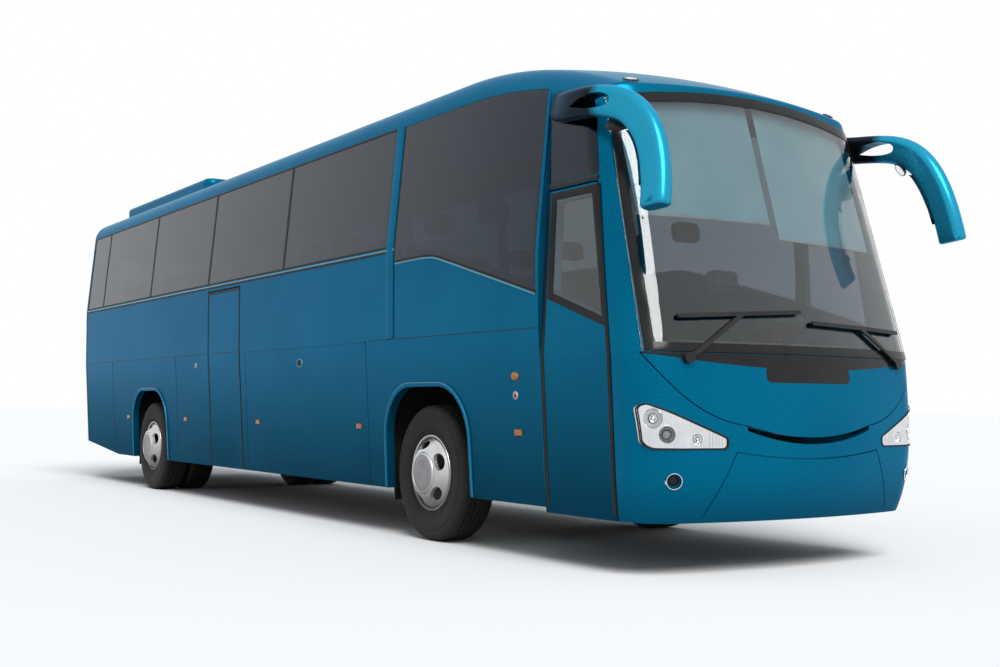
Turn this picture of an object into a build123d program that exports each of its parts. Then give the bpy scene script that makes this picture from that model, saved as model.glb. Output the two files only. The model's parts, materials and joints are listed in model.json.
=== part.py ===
from build123d import *
import os
from math import atan2, cos, degrees, radians, sin, sqrt

# Layout in millimetres: +X forward, +Y left, +Z up, ground at Z = 0,
# X = 0 midway between the rear wall and the mirrors' front edge.
WHEELBASE = 6610
FRONT_OVERHANG = 2790
REAR_OVERHANG = 2770
MIRROR_REACH = 160
FRONT_AXLE_X = (WHEELBASE + REAR_OVERHANG - FRONT_OVERHANG - MIRROR_REACH) / 2
REAR_AXLE_X = FRONT_AXLE_X - WHEELBASE
TAIL_X = REAR_AXLE_X - REAR_OVERHANG
CAP_X = TAIL_X + 140

# Body cross-section: height and half width of each corner, up to the eave
SKIRT_Z, SKIRT_W = 366, 1200
SEAM_Z, SEAM_W = 1549, 1268
BELT_Z, BELT_W = 2260, 1275
EAVE_Z, EAVE_W = 3451, 1161
ROOF_Z = 3557
COVE_R = 235
WALL = 60
FAR = 1700
OVER = 100

# Front roof bends down along one arc; the cant line above the side glass follows a wider one
BEND_X = FRONT_AXLE_X + 300
BEND_R = 4750
BEND_SWEEP = 75
CANT_Z = 3270
CANT_X = FRONT_AXLE_X + 500
CANT_R = 5780
FOREHEAD_R = 50

# Front end in plan: height, nose ahead of the front axle, half width, corner radius
FRONT_BACK_X = FRONT_AXLE_X + 1548
FRONT_R = 4360
SCREEN_Z = 1360
LOWER_FRONT = [
    (330, 2700, 1192, 330),
    (590, 2780, 1214, 330),
    (850, 2790, 1229, 310),
    (1100, 2772, 1243, 300),
    (SCREEN_Z, 2745, 1257, 300),
]
LINER_FOOT, LINER_TOP = (230, 2680, 1184, 330), (SCREEN_Z + 60, 2739, 1260, 300)
LOWER_LINER = [LINER_FOOT] + LOWER_FRONT[1:-1] + [LINER_TOP]
UPPER_FRONT = [(SCREEN_Z, 2745, 1257, 300), (3600, 2102, 1147, 300)]
UPPER_LINER = [(SCREEN_Z - 64, 2763, 1260, 300), (3600, 2102, 1147, 300)]

# Glass and gaps
GLASS = 8
SEAT_GAP = 0.3
GLASS_GAP = 3
FLANGE = 42
FLAP_GAP = 8
DOOR_GAP = 12

# Side openings: stations are millimetres ahead of the front axle
PILLAR_REAR, PILLAR_FRONT = -588, -448
PANES = [(-9212, -8524), (-8496, -6564), (-6536, -4614), (-4586, -2644), (-2616, PILLAR_REAR)]
PANE_LOW, PANE_TOP = 2292, 3256
FRONT_PANE = [(-436, 2168), (150, 2168), (1512, 1796), (1512, 3400), (-436, 3400)]
FRONT_PANE_R = [10, 900, 10, 0, 0]
DOOR_OUTLINE = [(1556, 250), (2310, 250), (2310, 1350), (2120, 2462), (1556, 2462)]
DOOR_R = [0, 0, 200, 60, 20]
DOOR_GLASS = [(1640, 1752), (2238, 1552), (2074, 2412), (1640, 2412)]
DOOR_GLASS_R, CORNER_PANE_R = 30, 20
QUARTER_PANE = [(1572, 2506), (2098, 2506), (2036, 2860), (1990, 3030), (1572, 3118)]
DRIVER_PANE = [(1572, 1776), (2234, 1562), (2036, 2860), (1990, 3030), (1572, 3118)]
MID_DOOR = (-4600, -3690, 2212)
FLAPS = [("right", -3560, -934), ("left_front", -3130, -934), ("left_rear", -5560, -3160)]
ARCH_TOP = 1170
ARCH_R = 400
ARCH_HALF_LOW, ARCH_HALF_TOP = 625, 605
ARCH_LIP, ARCH_LIP_PROUD = 34, 10

# Wheels
TYRE_R, TYRE_W, BEAD_R = 515, 295, 290
TRACK_HALF = 1045
TWIN_PITCH = 322
RIM_W, RIM_T, HUB_R = 260, 24, 60
KINGPIN_Y, KINGPIN_R = 900, 28
BEAM_H = 100

# Cabin and underfloor levels
DECK_Z, DECK_T = 1400, 60
HOLD_Z, HOLD_T = 430, 30
PLATFORM_Z = 960
RAIL_Y, RAIL_W, RAIL_H = 420, 80, 120
TOW_FRONT, TOW_REAR = (2240, 2390, 2340), (-9260, -9140, -9205)
TOW_T, TOW_EYE_R = 40, 21

PANE_DROP = 14
TAIL_RISE = [(-7900, 200), (-9500, 200), (-9500, 520), (-9335, 507), (-7900, SKIRT_Z)]
HINGE_R, HINGE_PLAY, HINGE_DROP = 5, 0.4, 4
HINGE_Z = SEAM_Z - HINGE_DROP

# Door gear: a post inside the doorway carries two arms, the leaf stays parallel
FRONT_POST_X, MID_POST_X = 2205, -4495
ARM_REACH, ARM_T = 520, 40
DOOR_ARM_Y, DOOR_ARM_Z = -1085, (620, 1250)
POST_R, POST_LOW, POST_TOP = 22, 440.5, 1330
PIN_R = 12
BRACKET_HALF, BRACKET_IN, BRACKET_LIFT, BRACKET_T = 35, 20, 2, 12

# Front panels, as seen from ahead: y and z
PANEL_GAP, PANEL_GROOVE = 7, 18
SCREEN_LOW, SCREEN_TOP, SCREEN_CROWN = (1188, 1364), (1112, 3015), 3108
COWL_EDGE, COWL_MID = (1187, 1352), 1268
SERVICE_SIDE, SERVICE_END, SERVICE_MID = (954, 1082), (545, 922), 846
SLOT_END, SLOT_MID = (545, 888), 802
TAB, TAB_R = (-375, 375, 1185, 1290), 40
CENTER_TOP, CENTER_MID, CENTER_LOW = (624, 755), 708, (848, 300)
HEADLAMP = [(690, 780), (1196, 780), (1224, 1066), (690, 844)]
HEADLAMP_R = [30, 60, 32, 24]
LENS_T = 6
LAMP_BACK = 2430
LAMP_BOWLS = [(2589, 1157, 962, 62), (2642, 1090, 866, 54), (2706, 900, 838, 40)]
FOG_Y, FOG_Z, FOG_R, FOG_DEEP = 1040, 589, 46, 25
FOG_BACK, FOG_FRONT = 2400, 2900
WIPER_IN, WIPER_OUT, WIPER_W, WIPER_BOSS_R = 14, 32, 26, 34
WIPERS = [
    ((-939, 1330), (-520, 1600), ((-960, 1585), (-30, 1640))),
    ((939, 1330), (560, 1560), ((80, 1575), (1000, 1550))),
]

# Rear end: y0, y1, z0, z1
TAIL_R = 100
REAR_PANE, REAR_PANE_R = (-880, 880, 2350, 3060), 60
ENGINE_DOOR, ENGINE_DOOR_R = (-820, 820, 760, 1560), 16
TAIL_LAMPS = [(1020, 800, 1000), (1020, 1020, 1220), (1020, 1240, 1440)]
TAIL_LAMP_W, TAIL_LAMP_PROUD, TAIL_LAMP_DEEP = 130, 6, 30

# Fittings on the outside
MARKERS = (1270, -1100, -3270, -5340, -7420)
MARKER_Z, MARKER_L, MARKER_H, MARKER_PROUD = 850, 76, 40, 12
ROOF_UNIT = (-9000, -5900, 840, 3690)
ROOF_UNIT_R, ROOF_UNIT_EDGE_R = 120, 60
HATCHES = (-4600, -700)
HATCH_L, HATCH_W, HATCH_Z = 800, 620, 3600
MIRROR_PATH = [(1617, 1148, 3032), (2066, 1469, 2834), (2728, 1163, 3154), (2823, 1339, 2184)]
MIRROR_DEEP, MIRROR_WIDE, MIRROR_R = 200, 112, 50

# Cabin: outlines as stations or y, and heights
SEAT_PITCH, SEAT_FIRST, SEAT_LAST = 800, 700, -8500
SEAT_IN, SEAT_OUT = 270, 1170
SEAT_CLEAR_REAR, SEAT_CLEAR_FRONT = 420, 260
SEAT_Z, CUSHION_Z, BACK_Z = 1780, 1900, 2560
SEAT_OUTLINE = [
    (0, DECK_Z), (300, DECK_Z), (300, SEAT_Z), (420, SEAT_Z), (420, CUSHION_Z),
    (0, CUSHION_Z), (-140, BACK_Z), (-260, BACK_Z), (-110, SEAT_Z), (0, SEAT_Z),
]
DRIVER_X, DRIVER_Y = 1450, (330, 790)
DRIVER_Z, DRIVER_CUSHION_Z, DRIVER_BACK_Z = 1290, 1410, 2060
DRIVER_OUTLINE = [
    (0, PLATFORM_Z), (360, PLATFORM_Z), (360, DRIVER_Z), (400, DRIVER_Z), (400, DRIVER_CUSHION_Z),
    (0, DRIVER_CUSHION_Z), (-20, DRIVER_BACK_Z), (-130, DRIVER_BACK_Z), (-110, DRIVER_Z), (0, DRIVER_Z),
]
STEERING = (1880, 560, 1560)
STEERING_TILT, STEERING_R, STEERING_RIM = 25, 225, 17
HUB_PAD_R, HUB_PAD_T, SPOKE_W, SPOKE_T = 45, 25, 36, 14
COLUMN_R, COLUMN_LOW, SHROUD_R, SHROUD_LOW, SHROUD_TOP = 25, -400, 50, -560, -180
COLUMN_SINK = 20
DASH = [(2000, PLATFORM_Z), (2420, PLATFORM_Z), (2490, 1330), (2350, 1420), (2050, 1480), (1980, 1300)]
DASH_Y, DASH_R = (-560, 1050), 20
BLINDS = [(-1040, -30, 2240, 3066), (30, 1040, 2140, 3066)]
BLIND_T = 3.7
TREAD_Z, STEP_OUT = 440, -1120
MID_STAIR = [
    (STEP_OUT, HOLD_Z), (STEP_OUT, TREAD_Z), (-900, TREAD_Z), (-900, 760), (-680, 760),
    (-680, 1080), (-460, 1080), (-460, DECK_Z), (-452, DECK_Z), (-452, HOLD_Z),
]
WELL_IN, WELL_GAP = -450, 30
PLATFORM_T, PLATFORM_REAR, PLATFORM_FRONT, PLATFORM_IN = 40, 1300, 2300, -540
RISER_T = 30
ENTRY = [
    (STEP_OUT, SKIRT_Z), (STEP_OUT, TREAD_Z), (-860, TREAD_Z), (-860, 680), (-580, 680), (-580, PLATFORM_Z),
    (-STEP_OUT, PLATFORM_Z), (-STEP_OUT, PLATFORM_Z - PLATFORM_T), (PLATFORM_IN, PLATFORM_Z - PLATFORM_T),
    (PLATFORM_IN, SKIRT_Z),
]
ENTRY_REAR = 1560
HOLD_REAR, HOLD_FRONT = -5640, -760

# Chassis: rails from x to x, height, cross members, and outriggers that reach the walls
FRONT_FRAME = (-718, 2250, 700, (300, 2200), (-718,))
REAR_FRAME = (-9150, -5642, 640, (-6400,), (-5682, -7500, -9100))
ENGINE = (-8950, -7700, 400)
BEAM_W, BEAM_END_R, BEAM_END_H = 110, 65, 120
BELLOWS_R = 110
AXLE_R, AXLE_HALF, AXLE_TIP, BOWL_R, BOWL_HALF = 90, 840, 960, 190, 150
SPRING_HALF, SPRING_W, SPRING_Z, BELLOWS_X = 450, 80, (440, 520), 350
FORK_HALF, FORK_IN, FORK_OUT, FORK_H = 75, 60, 100, 135
FORK_GAP, FORK_WEB, FORK_SPARE = 62, 26, 10
STUB_IN, STUB_OUT = 90, 235
SHOULDER, BEAD_IN, DISC_T, DISC_OUT = 30, 20, 20, 50
HOUSING_HALF, HOUSING_T, HOUSING_TOP, HOUSING_LOW, HOUSING_IN = 668, 16, 1216, 380, 480
MUD_FLAP = (900, 1130, 220, 400)


def station(d):
    """X of a point d ahead of the front axle."""
    return FRONT_AXLE_X + d


def xz(points, radius=0.0):
    """Face in the XZ plane from stations ahead of the front axle and heights."""
    corners = [(station(x), z) for x, z in points]
    return Plane.XZ * make_face(FilletPolyline(*corners, radius=radius, close=True))


def yz(points, radius=0.0):
    """Face in the YZ plane."""
    return Plane.YZ * make_face(FilletPolyline(*points, radius=radius, close=True))


def span_x(face, x0, x1):
    return extrude(Pos(x0, 0, 0) * face, amount=x1 - x0, dir=(1, 0, 0))


def span_y(face, y0, y1):
    return extrude(Pos(0, y0, 0) * face, amount=y1 - y0, dir=(0, 1, 0))


def block(x0, x1, y0, y1, z0, z1):
    """Box between two corners, X absolute."""
    return Pos((x0 + x1) / 2, (y0 + y1) / 2, (z0 + z1) / 2) * Box(x1 - x0, y1 - y0, z1 - z0)


def rod(radius, start, end):
    """Cylinder from one point to another."""
    way = Vector(*end) - Vector(*start)
    base = (Align.CENTER, Align.CENTER, Align.MIN)
    return Plane(origin=start, z_dir=way) * Cylinder(radius, way.length, align=base)


def mirrored(shape):
    return mirror(shape, Plane.XZ)


def both_sides(shape):
    return [shape, mirrored(shape)]


def side_of(face, side):
    """Prism through one side wall: side is -1 for the right, 1 for the left."""
    return span_y(face, 0, FAR) if side > 0 else span_y(face, -FAR, 0)


def body_profile(inset=0.0, foot=SKIRT_Z):
    """Cross-section of the body, drawn inset inside the outer skin."""
    lean = (SEAM_W - SKIRT_W) / (SEAM_Z - SKIRT_Z)
    right = [
        (SKIRT_W - inset - lean * (SKIRT_Z - foot), foot),
        (SEAM_W - inset, SEAM_Z),
        (BELT_W - inset, BELT_Z),
        (EAVE_W - inset, EAVE_Z - inset),
    ]
    left = [(-y, z) for y, z in reversed(right)]
    crown = ThreePointArc(right[-1], (0, ROOF_Z - inset), left[0])
    outline = make_face([Polyline(*right), crown, Polyline(*left), Line(left[-1], right[0])])
    eaves = [v for v in outline.vertices() if abs(v.Y - EAVE_Z + inset) < 1]
    return Plane.YZ * fillet(eaves, COVE_R - inset)


def bent_body(inset=0.0):
    """The cross-section turned forward about a low axle, so roof and window plane curve down."""
    axis = Axis((BEND_X, 0, ROOF_Z - BEND_R), (0, 1, 0))
    return revolve(Pos(BEND_X, 0, 0) * body_profile(inset, SKIRT_Z - OVER), axis, BEND_SWEEP)


def plan_section(z, nose, half, corner, back, inset):
    """Plan outline of the front end at one height: a wide front arc between two corner arcs."""
    nose = station(nose) - inset
    half, corner, sweep = half - inset, corner - inset, FRONT_R - inset
    cy = half - corner
    cx = nose - sweep + sqrt((sweep - corner) ** 2 - cy ** 2)
    grow = corner / (sweep - corner)
    tip = (cx + (cx - nose + sweep) * grow, cy + cy * grow)
    middle = (atan2(tip[1] - cy, tip[0] - cx) + radians(90)) / 2
    bend = (cx + corner * cos(middle), cy + corner * sin(middle))
    edges = [
        Line((back, half, z), (back, -half, z)),
        Line((back, -half, z), (cx, -half, z)),
        ThreePointArc((cx, -half, z), (bend[0], -bend[1], z), (tip[0], -tip[1], z)),
        ThreePointArc((tip[0], -tip[1], z), (nose, 0, z), (tip[0], tip[1], z)),
        ThreePointArc((tip[0], tip[1], z), (bend[0], bend[1], z), (cx, half, z)),
        Line((cx, half, z), (back, half, z)),
    ]
    return make_face(edges)


def front_loft(table, back, inset):
    sections = [plan_section(*row, back, inset) for row in table]
    return loft(sections, ruled=len(sections) == 2)


def main_body(inset, over=0.0):
    foot = SKIRT_Z - over
    return span_x(body_profile(inset, foot), CAP_X - over, BEND_X)


def mid_body(inset, over=0.0):
    profile = body_profile(inset, SKIRT_Z - over)
    return span_x(profile, BEND_X, FRONT_BACK_X + over) & bent_body(inset)


def upper_front(inset, over=0.0):
    table = UPPER_LINER if over else UPPER_FRONT
    return front_loft(table, FRONT_BACK_X - over, inset) & bent_body(inset)


def lower_front(inset, over=0.0):
    table = LOWER_LINER if over else LOWER_FRONT
    return front_loft(table, FRONT_BACK_X - over, inset)


def layer(body, outer, inner):
    """Skin of one body region between two insets."""
    return body(outer) - body(inner, OVER)


def rounded_forehead(body):
    """The sharp edge between windscreen and roof, rounded."""
    ridge = [e for e in body.edges() if e.center().X > station(1950) and 2900 < e.center().Z < 3300]
    return fillet(ridge, FOREHEAD_R)


def above_cant(drop=0.0):
    """Everything above the cant line, as a prism across the body."""
    def height(x):
        return CANT_Z - drop - CANT_R + sqrt(CANT_R ** 2 - (x - CANT_X) ** 2)
    mid_x, end_x = CANT_X + 900, CANT_X + 2200
    start, top = (TAIL_X - OVER, CANT_Z - drop), EAVE_Z + 300
    face = make_face([
        Line(start, (CANT_X, CANT_Z - drop)),
        ThreePointArc((CANT_X, CANT_Z - drop), (mid_x, height(mid_x)), (end_x, height(end_x))),
        Polyline((end_x, height(end_x)), (end_x, top), (start[0], top), start),
    ])
    return span_y(Plane.XZ * face, -FAR, FAR)


def grow(face, amount):
    """Outline moved out, or in where the amount is negative."""
    return offset(face, amount, kind=Kind.INTERSECTION)


def box_points(y0, y1, z0, z1):
    return [(y0, z0), (y1, z0), (y1, z1), (y0, z1)]


def write(name, *solids):
    """One STEP file per piece; several solids go in side by side."""
    flat = []
    for shape in solids:
        flat += list(shape.solids())
    shape = flat[0] if len(flat) == 1 else Compound(children=flat)
    export_step(shape, f"parts/{name}.step")


def flip(p):
    return (-p[0], p[1])


def sketch_yz(*edges):
    return Plane.YZ * make_face(list(edges))


def screen_outline():
    low, top = SCREEN_LOW, SCREEN_TOP
    crown = ThreePointArc(top, (0, SCREEN_CROWN), flip(top))
    return sketch_yz(Line(flip(low), low), Line(low, top), crown, Line(flip(top), flip(low)))


def cowl_outline():
    edge, high = COWL_EDGE, SCREEN_Z + OVER
    brow = ThreePointArc(flip(edge), (0, COWL_MID), edge)
    return sketch_yz(brow, Polyline(edge, (edge[0], high), (-edge[0], high), flip(edge)))


def service_outline():
    edge, side, end = COWL_EDGE, SERVICE_SIDE, SERVICE_END
    brow = ThreePointArc(flip(edge), (0, COWL_MID), edge)
    lip = ThreePointArc(end, (0, SERVICE_MID), flip(end))
    left, right = ThreePointArc(edge, side, end), ThreePointArc(flip(end), flip(side), flip(edge))
    return sketch_yz(brow, left, lip, right)


def slot_outline():
    upper = ThreePointArc(SERVICE_END, (0, SERVICE_MID), flip(SERVICE_END))
    lower = ThreePointArc(flip(SLOT_END), (0, SLOT_MID), SLOT_END)
    return sketch_yz(upper, Line(flip(SERVICE_END), flip(SLOT_END)), lower, Line(SLOT_END, SERVICE_END))


def center_outline():
    top, low = CENTER_TOP, CENTER_LOW
    crown = ThreePointArc(flip(top), (0, CENTER_MID), top)
    return sketch_yz(crown, Polyline(top, low, flip(low), flip(top)))


def front_prism(face):
    """Prism through the front end from an outline seen from ahead."""
    return span_x(face, FRONT_BACK_X, station(FRONT_OVERHANG) + OVER)


def strip(a, b, width):
    """Straight bar in the YZ plane from a to b with round ends."""
    along = Vector(b[0] - a[0], b[1] - a[1])
    middle = ((a[0] + b[0]) / 2, (a[1] + b[1]) / 2)
    turn = degrees(atan2(along.Y, along.X))
    return Plane.YZ * (Pos(*middle) * Rot(0, 0, turn) * SlotCenterToCenter(along.length, width))


os.makedirs("parts", exist_ok=True)

# Skins of the four body regions
CANT = above_cant()
outer_upper = rounded_forehead(upper_front(0))
main_shell = layer(main_body, 0, WALL)
mid_shell = layer(mid_body, 0, WALL)
upper_shell = outer_upper - upper_front(WALL, OVER)
lower_shell = layer(lower_front, 0, WALL)
main_glass = layer(main_body, 0, GLASS)
mid_glass = layer(mid_body, 0, GLASS)
upper_glass = layer(upper_front, 0, GLASS)
main_rebate = layer(main_body, 0, GLASS + SEAT_GAP)
mid_rebate = layer(mid_body, 0, GLASS + SEAT_GAP)
upper_rebate = layer(upper_front, 0, GLASS + SEAT_GAP)

# Side walls with the window band, wheel arches, doors and luggage flaps
pane_faces = [xz([(a, PANE_LOW), (b, PANE_LOW), (b, PANE_TOP), (a, PANE_TOP)]) for a, b in PANES]
front_face = xz(FRONT_PANE, FRONT_PANE_R)
front_tops = [above_cant(PANE_DROP), above_cant(PANE_DROP - GLASS_GAP), above_cant(PANE_DROP + FLANGE)]
arch_faces = []
for axle in (0, -WHEELBASE):
    corners = [
        (axle - ARCH_HALF_LOW, SKIRT_Z - OVER),
        (axle - ARCH_HALF_TOP, ARCH_TOP),
        (axle + ARCH_HALF_TOP, ARCH_TOP),
        (axle + ARCH_HALF_LOW, SKIRT_Z - OVER),
    ]
    arch_faces.append(xz(corners, [0, ARCH_R, ARCH_R, 0]))
tail_rise = xz(TAIL_RISE)
lip_skin = main_body(-ARCH_LIP_PROUD) - main_body(1, OVER)
side_body = (main_shell + mid_shell) - CANT
front_glass_skin = main_glass + mid_glass
front_rebate_skin = main_rebate + mid_rebate


def upright(rear, front, top, gap=0.0):
    """Outline of a door or flap: open below the skirt, gap all round."""
    low = SKIRT_Z - OVER
    return xz([(rear + gap, low), (front - gap, low), (front - gap, top - gap), (rear + gap, top - gap)])


def flap_hinge(rear, front, side, radius, z):
    """Hinge rod along the top edge of a luggage flap, on the outer skin."""
    y = side * (SEAM_W + (z - SEAM_Z) * (SEAM_W - SKIRT_W) / (SEAM_Z - SKIRT_Z))
    return rod(radius, (station(rear), y, z), (station(front), y, z))


side_glass = []
for side, word in ((-1, "right"), (1, "left")):
    half = block(TAIL_X - OVER, FRONT_BACK_X + OVER, 0, FAR, 0, EAVE_Z + OVER)
    wall = side_body & (half if side > 0 else mirrored(half))
    cuts = [side_of(tail_rise, side)]
    for face in pane_faces:
        side_glass.append(main_glass & side_of(face, side))
        cuts.append(main_rebate & side_of(grow(face, GLASS_GAP), side))
        cuts.append(side_of(grow(face, -FLANGE), side))
    side_glass.append(front_glass_skin & (side_of(front_face, side) - front_tops[0]))
    cuts.append(front_rebate_skin & (side_of(grow(front_face, GLASS_GAP), side) - front_tops[1]))
    cuts.append(side_of(grow(front_face, -FLANGE), side) - front_tops[2])
    for face in arch_faces:
        wall = wall + (lip_skin & side_of(grow(face, ARCH_LIP), side))
        cuts.append(side_of(face, side))
    if side < 0:
        leaf = main_shell & side_of(upright(*MID_DOOR, DOOR_GAP), side)
        cuts.append(side_of(upright(*MID_DOOR), side))
        mid_door_leaf = leaf
    for name, rear, front in FLAPS:
        if name.startswith(word):
            leaf = main_shell & side_of(upright(rear, front, SEAM_Z, FLAP_GAP), side)
            notch = flap_hinge(rear, front, side, HINGE_R + HINGE_PLAY, HINGE_Z)
            write(f"luggage_flap_{name}", leaf - notch)
            cuts.append(side_of(upright(rear, front, SEAM_Z), side))
    wall = wall - cuts
    for name, rear, front in FLAPS:
        if name.startswith(word):
            wall = wall + flap_hinge(rear + FLAP_GAP, front - FLAP_GAP, side, HINGE_R, HINGE_Z)
    write(f"side_wall_{word}", wall)

# Roof and front cap: everything above the cant line, split at the pillar behind the front axle
main_top = main_shell & CANT
split = block(TAIL_X - OVER, station(PILLAR_FRONT), -FAR, FAR, SEAM_Z, ROOF_Z + OVER)
write("roof", main_top & split)
door_face = xz(DOOR_OUTLINE, DOOR_R)
door_hole = side_of(door_face, -1)
screen_face = screen_outline()
cap_cuts = [door_hole]
cap_cuts.append(upper_rebate & front_prism(grow(screen_face, GLASS_GAP)))
cap_cuts.append(front_prism(grow(screen_face, -FLANGE)))
for face, side in ((xz(QUARTER_PANE, CORNER_PANE_R), -1), (xz(DRIVER_PANE, CORNER_PANE_R), 1)):
    side_glass.append(upper_glass & side_of(face, side))
    cap_cuts.append(upper_rebate & side_of(grow(face, GLASS_GAP), side))
    cap_cuts.append(side_of(grow(face, -FLANGE), side))
cap = (main_top - split) + (mid_shell & CANT) + upper_shell
write("front_cap", cap - cap_cuts)
write("windscreen", upper_glass & front_prism(screen_face))
write("side_glass", *side_glass)

# Front door: the leaf takes in both front lofts, its pane sits in a rebate
door_leaf = (upper_shell + lower_shell) & side_of(grow(door_face, -DOOR_GAP), -1)
pane_face = xz(DOOR_GLASS, DOOR_GLASS_R)
door_leaf = door_leaf - (upper_rebate & side_of(grow(pane_face, GLASS_GAP), -1))
door_leaf = door_leaf - side_of(grow(pane_face, -FLANGE), -1)
write("front_door_glass", upper_glass & side_of(pane_face, -1))


def door_arms(post_x, reach, way):
    """Post with two arms that point along the closed door; way is the arm's X direction."""
    arms = rod(POST_R, (post_x, DOOR_ARM_Y, POST_LOW), (post_x, DOOR_ARM_Y, POST_TOP))
    end = post_x + way * reach
    for z in DOOR_ARM_Z:
        low, high = min(post_x, end), max(post_x, end)
        half = ARM_T / 2
        arms = arms + block(low, high, DOOR_ARM_Y - half, DOOR_ARM_Y + half, z - half, z + half)
        arms = arms + rod(half, (end, DOOR_ARM_Y, z - half), (end, DOOR_ARM_Y, z + half))
        arms = arms - rod(PIN_R + SEAT_GAP, (end, DOOR_ARM_Y, z - ARM_T), (end, DOOR_ARM_Y, z + ARM_T))
    return arms


def door_brackets(end_x, leaf, body):
    """Bracket plates and pins that carry a door leaf on its arms."""
    for z in DOOR_ARM_Z:
        low = z + ARM_T / 2 + BRACKET_LIFT
        high = low + BRACKET_T
        plate = block(end_x - BRACKET_HALF, end_x + BRACKET_HALF, -FAR, DOOR_ARM_Y + BRACKET_IN, low, high)
        plate = plate & body(WALL / 2)
        leaf = leaf + plate + rod(PIN_R, (end_x, DOOR_ARM_Y, z - ARM_T / 2), (end_x, DOOR_ARM_Y, high))
    return leaf


front_arm_end = station(FRONT_POST_X) - ARM_REACH
write("front_door", door_brackets(front_arm_end, door_leaf, lower_front))
write("front_door_arms", door_arms(station(FRONT_POST_X), ARM_REACH, -1))
mid_arm_end = station(MID_POST_X) + ARM_REACH
write("mid_door", door_brackets(mid_arm_end, mid_door_leaf, main_body))
write("mid_door_arms", door_arms(station(MID_POST_X), ARM_REACH, 1))

# Front bumper shell with cowl, service flap, headlamps and fog lamps let in
tab_prism = front_prism(yz(box_points(*TAB), TAB_R))
cowl_prism = front_prism(cowl_outline())
flap_prism = front_prism(service_outline())
slot_prism = front_prism(slot_outline())
lamp_face = yz(HEADLAMP, HEADLAMP_R)
lamp_prisms = both_sides(span_x(lamp_face, station(LAMP_BACK), station(FRONT_OVERHANG) + OVER))
fog_holes = both_sides(rod(FOG_R, (station(FOG_BACK), FOG_Y, FOG_Z), (station(FOG_FRONT), FOG_Y, FOG_Z)))
write("cowl_panel", lower_shell & (cowl_prism + tab_prism))
write("service_flap", (lower_shell & flap_prism) - [cowl_prism, tab_prism, slot_prism])
groove_skin = layer(lower_front, 0, PANEL_GROOVE)
bumper_cuts = [door_hole, cowl_prism, flap_prism, slot_prism]
bumper_cuts += lamp_prisms + fog_holes
for outline in (service_outline(), center_outline()):
    bumper_cuts.append(groove_skin & front_prism(grow(outline, PANEL_GAP) - outline))
write("front_bumper", lower_shell - bumper_cuts)
lamp_skin = layer(lower_front, 0, LENS_T)
write("headlamp_lenses", *[lamp_skin & p for p in lamp_prisms])
units = []
lamp_back = lower_front(LENS_T + SEAT_GAP, OVER) - lower_front(WALL, OVER)
for prism, sign in zip(lamp_prisms, (1, -1)):
    unit = lamp_back & prism
    for x, y, z, r in LAMP_BOWLS:
        unit = unit - Pos(station(x), sign * y, z) * Sphere(r)
    units.append(unit)
fog_skin = layer(lower_front, FOG_DEEP, WALL)
units += [fog_skin & hole for hole in fog_holes]
write("headlamp_units", *units)

# Wipers lie just off the screen
wiper_skin = layer(upper_front, -WIPER_OUT, -WIPER_IN) + layer(lower_front, -WIPER_OUT, -WIPER_IN)
boss_skin = lower_front(-WIPER_OUT) - lower_front(-SEAT_GAP)
wipers = []
for pivot, elbow, tips in WIPERS:
    arm = wiper_skin & front_prism(strip(pivot, elbow, WIPER_W))
    blade = wiper_skin & front_prism(strip(*tips, WIPER_W))
    boss = boss_skin & front_prism(Plane.YZ * (Pos(*pivot) * Circle(WIPER_BOSS_R)))
    wipers.append(arm + blade + boss)
write("wipers", *wipers)

# Rear cap, engine door, rear window and tail lamps
cap_outer = span_x(body_profile(0), TAIL_X, CAP_X)
rim = [e for e in cap_outer.edges() if abs(e.center().X - TAIL_X) < 1 and e.center().Z > SKIRT_Z + 5]
cap_outer = fillet(rim, TAIL_R)
rear = cap_outer - span_x(body_profile(WALL, SKIRT_Z - OVER), TAIL_X + WALL, CAP_X + OVER)
rear = rear - span_y(tail_rise, -FAR, FAR)
rear_pane = yz(box_points(*REAR_PANE), REAR_PANE_R)
hatch = yz(box_points(*ENGINE_DOOR), ENGINE_DOOR_R)
rear = rear - span_x(grow(rear_pane, GLASS_GAP), TAIL_X - OVER, TAIL_X + GLASS)
rear = rear - span_x(grow(rear_pane, -FLANGE), TAIL_X - OVER, CAP_X)
rear = rear - span_x(hatch, TAIL_X - OVER, CAP_X)
lamps = []
for y, low, high in TAIL_LAMPS:
    y0, y1 = y - TAIL_LAMP_W / 2, y + TAIL_LAMP_W / 2
    lamps.append(block(TAIL_X - TAIL_LAMP_PROUD, TAIL_X + TAIL_LAMP_DEEP, y0, y1, low, high))
lamps += [mirrored(lamp) for lamp in lamps]
hinge_half, hinge_z = ENGINE_DOOR[1] - FLAP_GAP, ENGINE_DOOR[3] - HINGE_DROP
rear = rear - lamps + rod(HINGE_R, (TAIL_X, -hinge_half, hinge_z), (TAIL_X, hinge_half, hinge_z))
write("rear_cap", rear)
write("tail_lamps", *lamps)
write("rear_glass", span_x(rear_pane, TAIL_X, TAIL_X + GLASS))
leaf = span_x(grow(hatch, -FLAP_GAP), TAIL_X, TAIL_X + WALL)
write("engine_door", leaf - rod(HINGE_R + HINGE_PLAY, (TAIL_X, -FAR, hinge_z), (TAIL_X, FAR, hinge_z)))

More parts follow.
